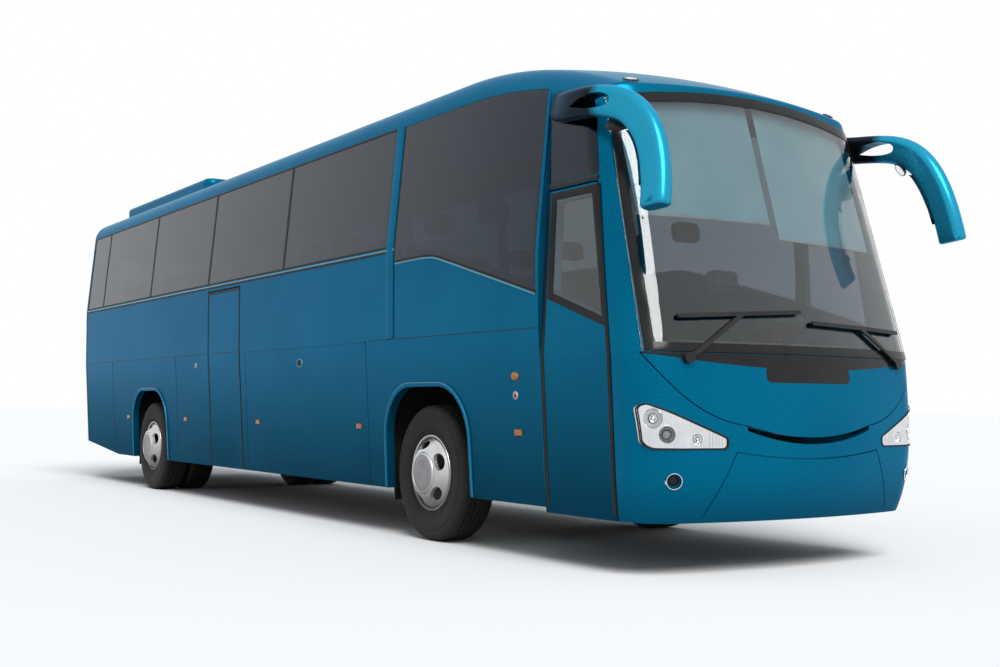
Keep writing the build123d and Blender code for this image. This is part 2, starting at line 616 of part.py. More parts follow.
# Side markers and roof units
marker_skin = main_body(-MARKER_PROUD) - main_body(0, OVER)
marker_front = mid_body(-MARKER_PROUD) - mid_body(0, OVER)
markers = []
for x in MARKERS:
    skin = marker_front if station(x) > BEND_X else marker_skin
    rear_x, front_x = x - MARKER_L / 2, x + MARKER_L / 2
    low, high = MARKER_Z - MARKER_H / 2, MARKER_Z + MARKER_H / 2
    face = xz([(rear_x, low), (front_x, low), (front_x, high), (rear_x, high)])
    markers += [skin & side_of(face, side) for side in (-1, 1)]
write("side_markers", *markers)
rear_x, front_x, half_w, top = ROOF_UNIT
unit = block(station(rear_x), station(front_x), -half_w, half_w, EAVE_Z, top)
unit = fillet(unit.edges().filter_by(Axis.Z), ROOF_UNIT_R)
unit = fillet(unit.faces().sort_by(Axis.Z)[-1].edges(), ROOF_UNIT_EDGE_R) - main_body(0)
hatches = []
for x in HATCHES:
    x0, x1 = station(x) - HATCH_L / 2, station(x) + HATCH_L / 2
    hatches.append(block(x0, x1, -HATCH_W / 2, HATCH_W / 2, EAVE_Z, HATCH_Z) - main_body(0))
write("roof_units", unit, *hatches)

# Mirrors: one rounded section swept forward from the pillar head and down ahead of the screen
path = Bezier(*[(station(x), -y, z) for x, y, z in MIRROR_PATH])
heading = path % 0
level = Vector(0, 1, 0) - heading * heading.Y
mouth = Plane(origin=path @ 0, x_dir=level, z_dir=heading) * RectangleRounded(MIRROR_WIDE, MIRROR_DEEP, MIRROR_R)
arm = sweep(mouth, path) - [upper_front(-SEAT_GAP), mid_body(-SEAT_GAP)]
write("mirror_arms", *both_sides(arm))

# Floor, luggage hold, platform and steps
inside = main_body(WALL, OVER)
deck = block(CAP_X, station(PLATFORM_REAR), -FAR, FAR, DECK_Z - DECK_T, DECK_Z)
deck = deck & (inside + mid_body(WALL, OVER))
well = block(station(MID_DOOR[0]), station(MID_DOOR[1]), -FAR, WELL_IN, 0, DECK_Z + OVER)
write("floor_deck", deck - well)
tray = block(station(HOLD_REAR), station(HOLD_FRONT), -FAR, FAR, HOLD_Z - HOLD_T, HOLD_Z)
tray = tray & main_body(WALL + FLAP_GAP, OVER)
for x in (HOLD_REAR, HOLD_FRONT - HOLD_T):
    bulkhead = block(station(x), station(x) + HOLD_T, -FAR, FAR, HOLD_Z - HOLD_T, DECK_Z - DECK_T)
    tray = tray + (bulkhead & inside)
write("luggage_hold", tray)
mid_steps = span_x(yz(MID_STAIR), station(MID_DOOR[0] + WELL_GAP), station(MID_DOOR[1] - WELL_GAP))
platform = span_x(yz(ENTRY), station(ENTRY_REAR), station(PLATFORM_FRONT))
low, rear_x = PLATFORM_Z - PLATFORM_T, station(PLATFORM_REAR)
platform = platform + block(rear_x, station(ENTRY_REAR), PLATFORM_IN, -STEP_OUT, low, PLATFORM_Z)
platform = platform + block(rear_x, rear_x + RISER_T, PLATFORM_IN, -STEP_OUT, low, DECK_Z)
write("steps", mid_steps, platform)

# Dashboard with the steering column's shroud, steering wheel, seats, blinds
wheel_at = (station(STEERING[0]), STEERING[1], STEERING[2])
column_way = (-sin(radians(STEERING_TILT)), 0, cos(radians(STEERING_TILT)))


def along(d):
    """Point on the steering column, d above the wheel's middle."""
    return tuple(p + w * d for p, w in zip(wheel_at, column_way))


dash = span_y(xz(DASH, DASH_R), *DASH_Y) + rod(SHROUD_R, along(SHROUD_LOW), along(SHROUD_TOP))
dash = dash - rod(COLUMN_R + SEAT_GAP, along(COLUMN_LOW - COLUMN_SINK), along(0))
write("dashboard", dash)
wheel_plane = Plane(origin=wheel_at, z_dir=column_way)
wheel = wheel_plane * Torus(STEERING_R, STEERING_RIM) + rod(HUB_PAD_R, along(-HUB_PAD_T), along(HUB_PAD_T))
wheel = wheel + rod(COLUMN_R, along(COLUMN_LOW), along(0))
for turn in (90, 210, 330):
    spoke = Pos(STEERING_R / 2, 0, 0) * Box(STEERING_R, SPOKE_W, SPOKE_T)
    wheel = wheel + wheel_plane * Rot(0, 0, turn) * spoke
write("steering_wheel", wheel)


def seat(outline, x, y0, y1):
    """Seat with its back and pedestal, as one closed outline drawn across."""
    return span_y(xz([(x + dx, z) for dx, z in outline]), y0, y1)


seats = []
x = SEAT_FIRST
while x > SEAT_LAST:
    seats.append(seat(SEAT_OUTLINE, x, SEAT_IN, SEAT_OUT))
    if not MID_DOOR[0] - SEAT_CLEAR_REAR < x < MID_DOOR[1] + SEAT_CLEAR_FRONT:
        seats.append(mirrored(seats[-1]))
    x -= SEAT_PITCH
write("passenger_seats", *seats)
write("driver_seat", seat(DRIVER_OUTLINE, DRIVER_X, *DRIVER_Y))
blind_skin = upper_front(WALL + SEAT_GAP) - upper_front(WALL + SEAT_GAP + BLIND_T, OVER)
write("sun_blinds", *[blind_skin & front_prism(yz(box_points(*b))) for b in BLINDS])


def subframe(x0, x1, z0, crosses, outriggers):
    """Two rails with cross members between them and outriggers from the rails to the walls."""
    z1 = z0 + RAIL_H
    inner, outer = RAIL_Y - RAIL_W / 2, RAIL_Y + RAIL_W / 2
    bars = both_sides(block(station(x0), station(x1), inner, outer, z0, z1))
    for x in crosses + outriggers:
        rear, front = station(x) - RAIL_W / 2, station(x) + RAIL_W / 2
        bars.append(block(rear, front, -inner, inner, z0, z1))
        if x in outriggers:
            bars += both_sides(block(rear, front, outer, FAR, z0, z1) & inside)
    return bars


def tow_lug(rear, front, eye, z0):
    """Upright lug with the eye that a towing pin goes through."""
    lug = block(station(rear), station(front), -TOW_T / 2, TOW_T / 2, z0, z0 + RAIL_H)
    eye_z = z0 + RAIL_H / 2
    return lug - rod(TOW_EYE_R, (station(eye), -TOW_T, eye_z), (station(eye), TOW_T, eye_z))


# Subframes, engine, axles
front_z, rear_z = FRONT_FRAME[2], REAR_FRAME[2]
bars = subframe(*FRONT_FRAME) + subframe(*REAR_FRAME)
write("subframes", *bars, tow_lug(*TOW_FRONT, front_z), tow_lug(*TOW_REAR, rear_z))
engine_rear, engine_front, engine_half = ENGINE
low, high = rear_z + RAIL_H, DECK_Z - DECK_T
write("engine", block(station(engine_rear), station(engine_front), -engine_half, engine_half, low, high))


def on_front_axle(half_x, y0, y1, half_z):
    """Block on the front axle line, so much to each side of it and above and below."""
    x, z = FRONT_AXLE_X, TYRE_R
    return block(x - half_x, x + half_x, y0, y1, z - half_z, z + half_z)


beam = on_front_axle(BEAM_W / 2, -KINGPIN_Y, KINGPIN_Y, BEAM_H / 2)
for side in (-1, 1):
    pin_y, rail_y = side * KINGPIN_Y, side * RAIL_Y
    low, high = TYRE_R - BEAM_END_H / 2, TYRE_R + BEAM_END_H / 2
    beam = beam + rod(BEAM_END_R, (FRONT_AXLE_X, pin_y, low), (FRONT_AXLE_X, pin_y, high))
    beam = beam - rod(KINGPIN_R + SEAT_GAP, (FRONT_AXLE_X, pin_y, 0), (FRONT_AXLE_X, pin_y, DECK_Z))
    beam = beam + rod(BELLOWS_R, (FRONT_AXLE_X, rail_y, TYRE_R), (FRONT_AXLE_X, rail_y, front_z))
write("front_axle", beam)


def across(radius, half):
    """Round bar across the bus on the rear axle line."""
    return rod(radius, (REAR_AXLE_X, -half, TYRE_R), (REAR_AXLE_X, half, TYRE_R))


axle = across(AXLE_R, AXLE_HALF) + across(HUB_R - SEAT_GAP, AXLE_TIP) + across(BOWL_R, BOWL_HALF)
for side in (-1, 1):
    rail_y = side * RAIL_Y
    y0, y1 = rail_y - SPRING_W / 2, rail_y + SPRING_W / 2
    axle = axle + block(REAR_AXLE_X - SPRING_HALF, REAR_AXLE_X + SPRING_HALF, y0, y1, *SPRING_Z)
    for x in (REAR_AXLE_X - BELLOWS_X, REAR_AXLE_X + BELLOWS_X):
        axle = axle + rod(BELLOWS_R, (x, rail_y, sum(SPRING_Z) / 2), (x, rail_y, rear_z))
write("rear_axle", axle)

# Steered hubs: a fork round the beam's end, its kingpin and the wheel's stub
fork_in, fork_out = KINGPIN_Y - FORK_IN, KINGPIN_Y + FORK_OUT
fork = on_front_axle(FORK_HALF, fork_in, fork_out, FORK_H)
fork = fork - on_front_axle(FORK_HALF + FORK_SPARE, fork_in - FORK_SPARE, fork_out - FORK_WEB, FORK_GAP)
low, high = TYRE_R - FORK_H, TYRE_R + FORK_H
fork = fork + rod(KINGPIN_R, (FRONT_AXLE_X, KINGPIN_Y, low), (FRONT_AXLE_X, KINGPIN_Y, high))
stub_in, stub_out = KINGPIN_Y + STUB_IN, KINGPIN_Y + STUB_OUT
fork = fork + rod(HUB_R - SEAT_GAP, (FRONT_AXLE_X, stub_in, TYRE_R), (FRONT_AXLE_X, stub_out, TYRE_R))
write("knuckle_left", fork)
write("knuckle_right", mirrored(fork))


def turned(x, profile):
    """Ring about a wheel axle from radius and width points."""
    face = Plane.YZ * make_face(Polyline(*[(w, r) for r, w in profile], close=True))
    return Pos(x, 0, TYRE_R) * revolve(face, Axis.Y, 360)


def tyre(x, y):
    """Tyre with bevelled shoulders, centred on y."""
    half, bead = TYRE_W / 2, BEAD_R + SEAT_GAP
    profile = [(bead, y - half + BEAD_IN), (TYRE_R - SHOULDER, y - half), (TYRE_R, y - half + SHOULDER)]
    profile += [(TYRE_R, y + half - SHOULDER), (TYRE_R - SHOULDER, y + half), (bead, y + half - BEAD_IN)]
    return turned(x, profile)


def wheel_disc(x, y0, y1, disc):
    """Rim barrel from y0 to y1 with its disc around disc."""
    inner, disc_in, disc_out = BEAD_R - RIM_T, disc - DISC_T, disc + DISC_T
    profile = [(BEAD_R, y0), (BEAD_R, y1), (inner, y1), (inner, disc_out)]
    profile += [(HUB_R, disc_out), (HUB_R, disc_in), (inner, disc_in), (inner, y0)]
    return turned(x, profile)


# Wheels: single in front, twins behind on one deep rim
rim_in, rim_out = TRACK_HALF - RIM_W / 2, TRACK_HALF + RIM_W / 2
front_tyre = tyre(FRONT_AXLE_X, TRACK_HALF)
front_rim = wheel_disc(FRONT_AXLE_X, rim_in, rim_out, TRACK_HALF + DISC_OUT)
rear_tyres = [tyre(REAR_AXLE_X, TRACK_HALF), tyre(REAR_AXLE_X, TRACK_HALF - TWIN_PITCH)]
rear_rim = wheel_disc(REAR_AXLE_X, rim_in - TWIN_PITCH, rim_out, TRACK_HALF - TWIN_PITCH / 2)
write("front_tyre_left", front_tyre)
write("front_tyre_right", mirrored(front_tyre))
write("front_rim_left", front_rim)
write("front_rim_right", mirrored(front_rim))
write("rear_tyres_left", *rear_tyres)
write("rear_tyres_right", *[mirrored(t) for t in rear_tyres])
write("rear_rims_left", rear_rim)
write("rear_rims_right", mirrored(rear_rim))

# Wheel housings with mud flaps
housings = []
inner_half, inner_top = HOUSING_HALF - HOUSING_T, HOUSING_TOP - HOUSING_T
for axle_st in (0, -WHEELBASE):
    rear_x, front_x = axle_st - HOUSING_HALF, axle_st + HOUSING_HALF
    outer = xz([(rear_x, HOUSING_LOW), (rear_x, HOUSING_TOP), (front_x, HOUSING_TOP), (front_x, HOUSING_LOW)])
    rear_in, front_in = axle_st - inner_half, axle_st + inner_half
    inner = xz([(rear_in, 0), (rear_in, inner_top), (front_in, inner_top), (front_in, 0)])
    shell = span_y(outer, HOUSING_IN, FAR) - span_y(inner, HOUSING_IN - OVER, FAR)
    flap = block(station(rear_x), station(rear_in), *MUD_FLAP)
    housings += both_sides((shell + flap) & inside)
write("wheel_housings", *housings)
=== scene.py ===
import json
import math
import bpy
import bmesh
from mathutils import Matrix, Vector
from mathutils.bvhtree import BVHTree

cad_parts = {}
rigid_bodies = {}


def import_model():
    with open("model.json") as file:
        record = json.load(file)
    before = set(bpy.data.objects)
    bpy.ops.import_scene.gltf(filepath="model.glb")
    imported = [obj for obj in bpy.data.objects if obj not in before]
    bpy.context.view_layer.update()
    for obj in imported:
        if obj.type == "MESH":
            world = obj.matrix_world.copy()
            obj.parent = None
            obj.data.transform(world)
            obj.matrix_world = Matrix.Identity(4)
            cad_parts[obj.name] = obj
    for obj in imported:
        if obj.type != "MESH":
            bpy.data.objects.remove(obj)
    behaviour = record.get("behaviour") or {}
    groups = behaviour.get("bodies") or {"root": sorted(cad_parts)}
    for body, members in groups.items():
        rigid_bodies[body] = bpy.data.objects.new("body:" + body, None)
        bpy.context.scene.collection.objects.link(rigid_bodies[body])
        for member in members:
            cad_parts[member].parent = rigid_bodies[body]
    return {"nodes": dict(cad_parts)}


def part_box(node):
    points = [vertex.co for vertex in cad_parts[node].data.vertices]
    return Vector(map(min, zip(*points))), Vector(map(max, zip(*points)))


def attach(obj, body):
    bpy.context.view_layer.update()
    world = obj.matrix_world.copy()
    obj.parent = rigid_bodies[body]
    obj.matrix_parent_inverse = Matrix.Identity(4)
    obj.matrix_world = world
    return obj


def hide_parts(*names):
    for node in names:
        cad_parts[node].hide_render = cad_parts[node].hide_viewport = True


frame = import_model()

NODES = frame["nodes"]
for stray in [o for o in bpy.data.objects if o.name in ("Cube", "Light", "Camera")]:
    bpy.data.objects.remove(stray)
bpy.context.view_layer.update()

# Places read from the frame; stations are metres ahead of the front axle, the door side is y < 0
LOW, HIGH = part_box("front_tyre_right")
FRONT_AXLE_X = (LOW.x + HIGH.x) / 2
AXLE_Z = (HIGH.z - LOW.z) / 2
TYRE_Y, TYRE_W = -(LOW.y + HIGH.y) / 2, HIGH.y - LOW.y
REAR_LOW, REAR_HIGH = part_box("rear_tyres_right")
REAR_AXLE_X = (REAR_LOW.x + REAR_HIGH.x) / 2
TWIN_Y = -(REAR_HIGH.y - TYRE_W / 2)
RIM_LOW, RIM_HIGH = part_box("front_rim_right")
RIM_R = (RIM_HIGH.z - RIM_LOW.z) / 2
RIM_OUT = -RIM_LOW.y
SIDES = {"right": -1, "left": 1}

# Heights and stations of the trim
BELT_Z, SEAM_Z = 2.262, 1.549
TAIL_ST = -9.24
PILLAR_ST = -0.442
COLUMN_ST = -0.516
SERVICE_SEAMS, SERVICE_LOW_Z = [-8.05, -5.62], 0.55
TAIL_SEAM_Z = (0.54, 3.24)
PANE_ENDS = [-9.212, -8.51, -6.55, -4.60, -2.63, -0.588]
PANE_LOW_Z, PANE_TOP_Z = 2.288, 3.260
WAVE = [(-0.43, 2.150), (0.10, 2.150), (0.38, 2.090), (0.70, 2.003), (1.10, 1.893), (1.52, 1.776)]
DOOR_REAR_ST, DOOR_FRONT_ST, DOOR_TOP_Z = 1.568, 2.298, 2.450
DOOR_FRONT_EDGE = [(DOOR_FRONT_ST, 0.36), (DOOR_FRONT_ST, 1.350), (2.110, 2.440)]
DOOR_PANE = [(1.640, 1.752), (2.238, 1.552), (2.074, 2.412), (1.640, 2.412)]
MID_DOOR_ST = (-4.588, -3.702)
MID_DOOR_TOP_Z = 2.200
SCREEN_EDGE = [(1.176, 1.375), (1.146, 2.2), (1.104, 3.005)]
SCREEN_LOW_Z = 1.394
SILL_Y = (0, 0.15, 0.30, 0.45, 0.60, 0.72, 0.84, 0.94, 1.02, 1.09, 1.145)
SCREEN_TOP = [(0.0, 3.108), (0.4, 3.096), (0.8, 3.060), (1.104, 3.016)]
HEADLAMP = [(0.690, 0.780), (1.196, 0.780), (1.224, 1.066), (0.690, 0.844)]
HEADLAMP_R = [0.030, 0.060, 0.032, 0.024]
# Bowls in a headlamp: station, y, z, radius
LAMP_BOWLS = [(2.589, 1.157, 0.962, 0.062), (2.642, 1.090, 0.866, 0.054), (2.706, 0.900, 0.838, 0.040)]

# Camera at the photograph's angle, in a frame 1000 pixels wide
CAMERA_AT = Vector((11.648, -6.074, 1.042))
CAMERA_TURN, CAMERA_PITCH, CAMERA_ROLL = 56.80, 3.17, 0.41
FOCAL_PX, IMAGE_W, SENSOR = 1271.7, 1000, 36.0

# Widths of the trim, and how far it stands proud
TRIM_W, TRIM_LIFT = 0.014, 0.007
SEAL_LIFT, FRIT_LIFT = 0.003, 0.002
SEAM_W, GROOVE_W, SEAM_LIFT = 0.006, 0.008, 0.0012
BELT_SEAL_W, WAVE_SEAL_W, TOP_SEAL_W, MID_SEAL_W, DOOR_SEAL_W = 0.026, 0.024, 0.024, 0.018, 0.030
DIVIDER_W, DIVIDER_LIFT = 0.044, 0.002
GASKET_W, GASKET_LIFT = 0.016, 0.0025
COLUMN_W, COLUMN_LIFT = 0.122, 0.010
PANE_FRAME_W, PANE_FRAME_LIFT = 0.050, 0.004
HEADER_W, HEADER_LIFT = 0.034, 0.006
SCREEN_BORDER_W, SCREEN_BAND_W = 0.058, 0.070
LIP_W, LIP_LIFT = 0.036, 0.013
# A thin light line beside each arch lip: painted highlight
LIP_HIGHLIGHT_W, LIP_HIGHLIGHT_LIFT, LIP_HIGHLIGHT_OUT = 0.007, 0.0145, 0.013


def at(st):
    """X of a station."""
    return FRONT_AXLE_X + st


# Materials

# Patchiness and roughness of the low tone: dust on the wheels and tyres, painted shade on the body paint
DUST_AND_SHADE_PATCHY, DUST_AND_SHADE_ROUGH = 0.78, 0.85


def new_material(name):
    mat = bpy.data.materials.new(name)
    mat.use_nodes = True
    return mat, mat.node_tree.nodes, mat.node_tree.links, mat.node_tree.nodes["Principled BSDF"]


def noise(nodes, links, coords, scale, detail=3.0):
    node = nodes.new("ShaderNodeTexNoise")
    node.inputs["Scale"].default_value = scale
    node.inputs["Detail"].default_value = detail
    links.new(coords.outputs["Object"], node.inputs["Vector"])
    return node.outputs["Fac"]


def spread(nodes, links, value, low, high, start=0.3, end=0.7):
    node = nodes.new("ShaderNodeMapRange")
    node.inputs["From Min"].default_value = start
    node.inputs["From Max"].default_value = end
    node.inputs["To Min"].default_value = low
    node.inputs["To Max"].default_value = high
    links.new(value, node.inputs["Value"])
    return node.outputs["Result"]


def blend_colour(nodes, links, fac, a, b):
    """Colour from a to b; each is a colour or a socket."""
    node = nodes.new("ShaderNodeMix")
    node.data_type = "RGBA"
    links.new(fac, node.inputs["Factor"])
    for socket, value in ((node.inputs["A"], a), (node.inputs["B"], b)):
        if isinstance(value, tuple):
            socket.default_value = (*value, 1)
        else:
            links.new(value, socket)
    return node.outputs["Result"]


def axis_mask(nodes, links, coords, axis, start, end):
    """0 to 1 along one axis of the object."""
    split = nodes.new("ShaderNodeSeparateXYZ")
    links.new(coords.outputs["Object"], split.inputs["Vector"])
    return spread(nodes, links, split.outputs[axis], 0, 1, start, end)


def times(nodes, links, a, b):
    node = nodes.new("ShaderNodeMath")
    node.operation = "MULTIPLY"
    links.new(a, node.inputs[0])
    links.new(b, node.inputs[1])
    return node.outputs["Value"]


def material(name, dark, light, rough, grain=6.0, metallic=0.0, bump=0.05, bump_grain=40.0, coat=0.0,
             clear=0.0, ior=1.5, dust_and_shade=None, parts=None, sheen=0.0, level=0.5, tint=(1, 1, 1)):
    """Two close tones over a noise, with its own roughness and bump; below a height the colour blends to a
    low tone, which is dust on the wheels and tyres and painted shade on the body paint.
    """
    mat, nodes, links, shader = new_material(name)
    coords = nodes.new("ShaderNodeTexCoord")
    broad = noise(nodes, links, coords, grain)
    fine = noise(nodes, links, coords, bump_grain, 5.0)
    colour = blend_colour(nodes, links, spread(nodes, links, broad, 0, 1), dark, light)
    roughness = spread(nodes, links, fine, rough * 0.85, min(1.0, rough * 1.2))
    if parts:
        axis, start, end, other = parts
        colour = blend_colour(nodes, links, axis_mask(nodes, links, coords, axis, start, end), other, colour)
    # Below a height blend to the low tone: dirt for the brown tones, painted shade for the dark teal of the
    # paint
    if dust_and_shade:
        top, low, amount, tone = dust_and_shade
        fall = axis_mask(nodes, links, coords, "Z", top, low)
        patchy = times(nodes, links, fall, spread(nodes, links, broad, DUST_AND_SHADE_PATCHY * amount, amount))
        colour = blend_colour(nodes, links, patchy, colour, tone)
        mix = nodes.new("ShaderNodeMix")
        links.new(patchy, mix.inputs["Factor"])
        links.new(roughness, mix.inputs["A"])
        mix.inputs["B"].default_value = DUST_AND_SHADE_ROUGH
        roughness = mix.outputs["Result"]
    lift = nodes.new("ShaderNodeBump")
    lift.inputs["Strength"].default_value = bump
    lift.inputs["Distance"].default_value = 0.002
    links.new(fine, lift.inputs["Height"])
    links.new(lift.outputs["Normal"], shader.inputs["Normal"])
    links.new(colour, shader.inputs["Base Color"])
    links.new(roughness, shader.inputs["Roughness"])
    shader.inputs["Metallic"].default_value = metallic
    shader.inputs["Coat Weight"].default_value = coat
    shader.inputs["Coat Roughness"].default_value = 0.03
    shader.inputs["Transmission Weight"].default_value = clear
    shader.inputs["IOR"].default_value = ior
    shader.inputs["Sheen Weight"].default_value = sheen
    shader.inputs["Specular IOR Level"].default_value = level
    shader.inputs["Specular Tint"].default_value = (*tint, 1)
    return mat


DIRT = (0.17, 0.14, 0.11)
# Dark teal that the body paint blends to towards the bottom: painted shade
LOW_SHADE_TEAL = (0.001, 0.045, 0.085)
TEAL_DARK, TEAL_LIGHT = (0.0, 0.126, 0.236), (0.0, 0.148, 0.270)
TEAL = dict(grain=1.3, metallic=0.55, bump=0.004, bump_grain=260, coat=0.03, level=0.06,
            tint=(0.06, 0.55, 0.80))
# The body paint darkens towards the bottom as painted shade; the front panels get less of it, so they read as
# more lit
PAINT = material("paint_teal", TEAL_DARK, TEAL_LIGHT, 0.26, dust_and_shade=(1.55, 0.30, 0.95, LOW_SHADE_TEAL), **TEAL)
PAINT_FRONT = material("paint_front", TEAL_DARK, TEAL_LIGHT, 0.26, dust_and_shade=(0.62, 0.30, 0.6, LOW_SHADE_TEAL), **TEAL)
PAINT_ROOF = material("paint_roof", TEAL_DARK, TEAL_LIGHT, 0.26, **TEAL)
# Lighter teal for the bright lines along the belt and wave mouldings, the arch edges and the handle rims:
# painted highlight
PAINT_HIGHLIGHT = material("paint_highlight", (0.03, 0.25, 0.36), (0.05, 0.30, 0.42), 0.30, metallic=0.4, bump=0.01,
                      coat=0.3)
# The mirror arms in a much lighter teal than the body: painted sky reflection; the black root is the arm's
# own colour
MIRROR_LIT_PAINT = material("paint_mirror_lit", (0.02, 0.33, 0.52), (0.025, 0.36, 0.56), 0.26,
                        parts=("X", at(2.20), at(2.30), (0.018, 0.018, 0.020)), **TEAL)
SIDE_GLASS = material("glass_tinted", (0.070, 0.095, 0.130), (0.085, 0.112, 0.150), 0.015, grain=0.5,
                      bump=0.0, clear=1.0, ior=1.40, tint=(0.55, 0.72, 0.95))
DOOR_GLASS = material("glass_door", (0.42, 0.48, 0.46), (0.45, 0.51, 0.48), 0.02, grain=0.6, bump=0.0,
                      clear=1.0)
SCREEN = material("glass_screen", (0.74, 0.80, 0.79), (0.78, 0.84, 0.82), 0.01, grain=0.5, bump=0.0,
                  clear=1.0)
LENS = material("lens_clear", (0.92, 0.93, 0.94), (0.96, 0.96, 0.97), 0.01, bump=0.0, clear=1.0, ior=1.4)
CHROME = material("lamp_chrome", (0.72, 0.73, 0.75), (0.82, 0.83, 0.84), 0.10, metallic=1.0, bump=0.02,
                  bump_grain=15)
STEEL = material("wheel_steel", (0.56, 0.57, 0.58), (0.70, 0.71, 0.72), 0.26, grain=9, metallic=0.9,
                 bump=0.04, bump_grain=120, dust_and_shade=(0.66, 0.26, 0.85, (0.11, 0.095, 0.08)))
CAP_STEEL = material("hub_cap", (0.24, 0.24, 0.25), (0.32, 0.32, 0.33), 0.38, grain=14, metallic=0.75,
                     bump=0.05, bump_grain=90, dust_and_shade=(0.56, 0.30, 0.4, DIRT))
RIM = material("rim_inner", (0.10, 0.10, 0.10), (0.16, 0.155, 0.15), 0.55, metallic=0.3, bump=0.1,
               dust_and_shade=(0.9, 0.2, 0.5, DIRT))
RUBBER = material("tyre_rubber", (0.010, 0.010, 0.010), (0.018, 0.017, 0.017), 0.72, grain=5, bump=0.25,
                  bump_grain=160, level=0.25, dust_and_shade=(0.50, 0.0, 0.16, DIRT))
SEAL = material("seal_rubber", (0.008, 0.008, 0.009), (0.016, 0.016, 0.017), 0.55, bump=0.1, bump_grain=120,
                level=0.2)
FRIT = material("glass_border", (0.006, 0.007, 0.008), (0.011, 0.012, 0.013), 0.16, bump=0.0, level=0.25)
PLASTIC = material("plastic_black", (0.010, 0.010, 0.011), (0.019, 0.019, 0.020), 0.45, bump=0.15,
                   bump_grain=220, level=0.25)
DASH = material("dash_grey", (0.055, 0.058, 0.062), (0.080, 0.083, 0.088), 0.60, grain=12, bump=0.3,
                bump_grain=300)
GREY = material("trim_grey", (0.28, 0.29, 0.30), (0.36, 0.37, 0.38), 0.40, bump=0.05, bump_grain=90)
IRON = material("chassis_iron", (0.030, 0.028, 0.026), (0.055, 0.050, 0.045), 0.62, grain=9, metallic=0.4,
                bump=0.2, bump_grain=60)
UNDER = material("underbody", (0.026, 0.025, 0.024), (0.042, 0.040, 0.037), 0.75, grain=5, bump=0.2,
                 bump_grain=70)
FLOORING = material("floor_rubber", (0.045, 0.046, 0.050), (0.065, 0.066, 0.070), 0.7, grain=18, bump=0.4,
                    bump_grain=140)
AMBER = material("lens_amber", (0.80, 0.22, 0.01), (0.90, 0.30, 0.02), 0.12, grain=40, bump=0.2,
                 bump_grain=90, clear=0.35)
RED = material("lens_red", (0.45, 0.01, 0.01), (0.58, 0.015, 0.012), 0.12, grain=40, bump=0.2,
               bump_grain=90, clear=0.25)
WHITE_LENS = material("lens_white", (0.72, 0.73, 0.74), (0.84, 0.85, 0.85), 0.15, grain=60, bump=0.2,
                      bump_grain=120, clear=0.3)
BLIND = material("blind_cloth", (0.17, 0.31, 0.39), (0.22, 0.37, 0.45), 0.85, grain=3, bump=0.4,
                 bump_grain=500, sheen=0.2)
MOQUETTE = material("seat_moquette", (0.030, 0.062, 0.120), (0.055, 0.100, 0.170), 0.9, grain=55, bump=0.5,
                    bump_grain=420, sheen=0.4)
BARE_STEEL = material("arm_steel", (0.35, 0.35, 0.36), (0.46, 0.46, 0.47), 0.35, metallic=0.9, bump=0.05)

NODE_FINISH = {
    PAINT_FRONT: ("front_bumper", "service_flap", "front_cap"),
    PAINT: ("side_wall_right", "side_wall_left", "rear_cap", "luggage_flap_right", "luggage_flap_left_front",
            "luggage_flap_left_rear", "engine_door", "mid_door", "front_door"),
    PAINT_ROOF: ("roof", "roof_units"),
    MIRROR_LIT_PAINT: ("mirror_arms",),
    SCREEN: ("windscreen",),
    SIDE_GLASS: ("side_glass", "rear_glass"),
    DOOR_GLASS: ("front_door_glass",),
    LENS: ("headlamp_lenses",),
    CHROME: ("headlamp_units",),
    RED: ("tail_lamps",),
    AMBER: ("side_markers",),
    FRIT: ("cowl_panel",),
    PLASTIC: ("wipers", "wheel_housings", "steering_wheel"),
    DASH: ("dashboard",),
    FLOORING: ("floor_deck", "steps"),
    UNDER: ("luggage_hold", "subframes"),
    BARE_STEEL: ("front_door_arms", "mid_door_arms"),
    IRON: ("front_axle", "rear_axle", "engine", "knuckle_left", "knuckle_right"),
    RIM: ("front_rim_left", "front_rim_right", "rear_rims_left", "rear_rims_right"),
    MOQUETTE: ("passenger_seats", "driver_seat"),
    BLIND: ("sun_blinds",),
    RUBBER: ("front_tyre_left", "front_tyre_right", "rear_tyres_left", "rear_tyres_right"),
}
for finish, names in NODE_FINISH.items():
    for name in names:
        for place in NODES[name].material_slots:
            place.material = finish


# Meshes

def add_piece(name, mesh, mat, body, crease=35):
    """Mesh object in the row frame, smooth up to the crease angle, riding on a body."""
    piece = bpy.data.objects.new(name, mesh)
    bpy.context.scene.collection.objects.link(piece)
    mesh.materials.append(mat)
    mesh.polygons.foreach_set("use_smooth", [True] * len(mesh.polygons))
    mesh.set_sharp_from_angle(angle=math.radians(crease))
    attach(piece, body)
    return piece


def mesh_from(name, build):
    """Mesh of the bmesh that build fills, welded and with its faces turned outward."""
    bm = bmesh.new()
    build(bm)
    bmesh.ops.remove_doubles(bm, verts=bm.verts, dist=1e-5)
    bmesh.ops.recalc_face_normals(bm, faces=bm.faces)
    mesh = bpy.data.meshes.new(name)
    bm.to_mesh(mesh)
    bm.free()
    return mesh


def frame_on(origin, axis, up=Vector((0, 0, 1))):
    """Matrix whose Z is the axis, placed at the origin."""
    z = Vector(axis).normalized()
    x = Vector(up).cross(z)
    x = x.normalized() if x.length > 1e-4 else Vector((1, 0, 0))
    m = Matrix((x, z.cross(x), z)).transposed().to_4x4()
    m.translation = Vector(origin)
    return m


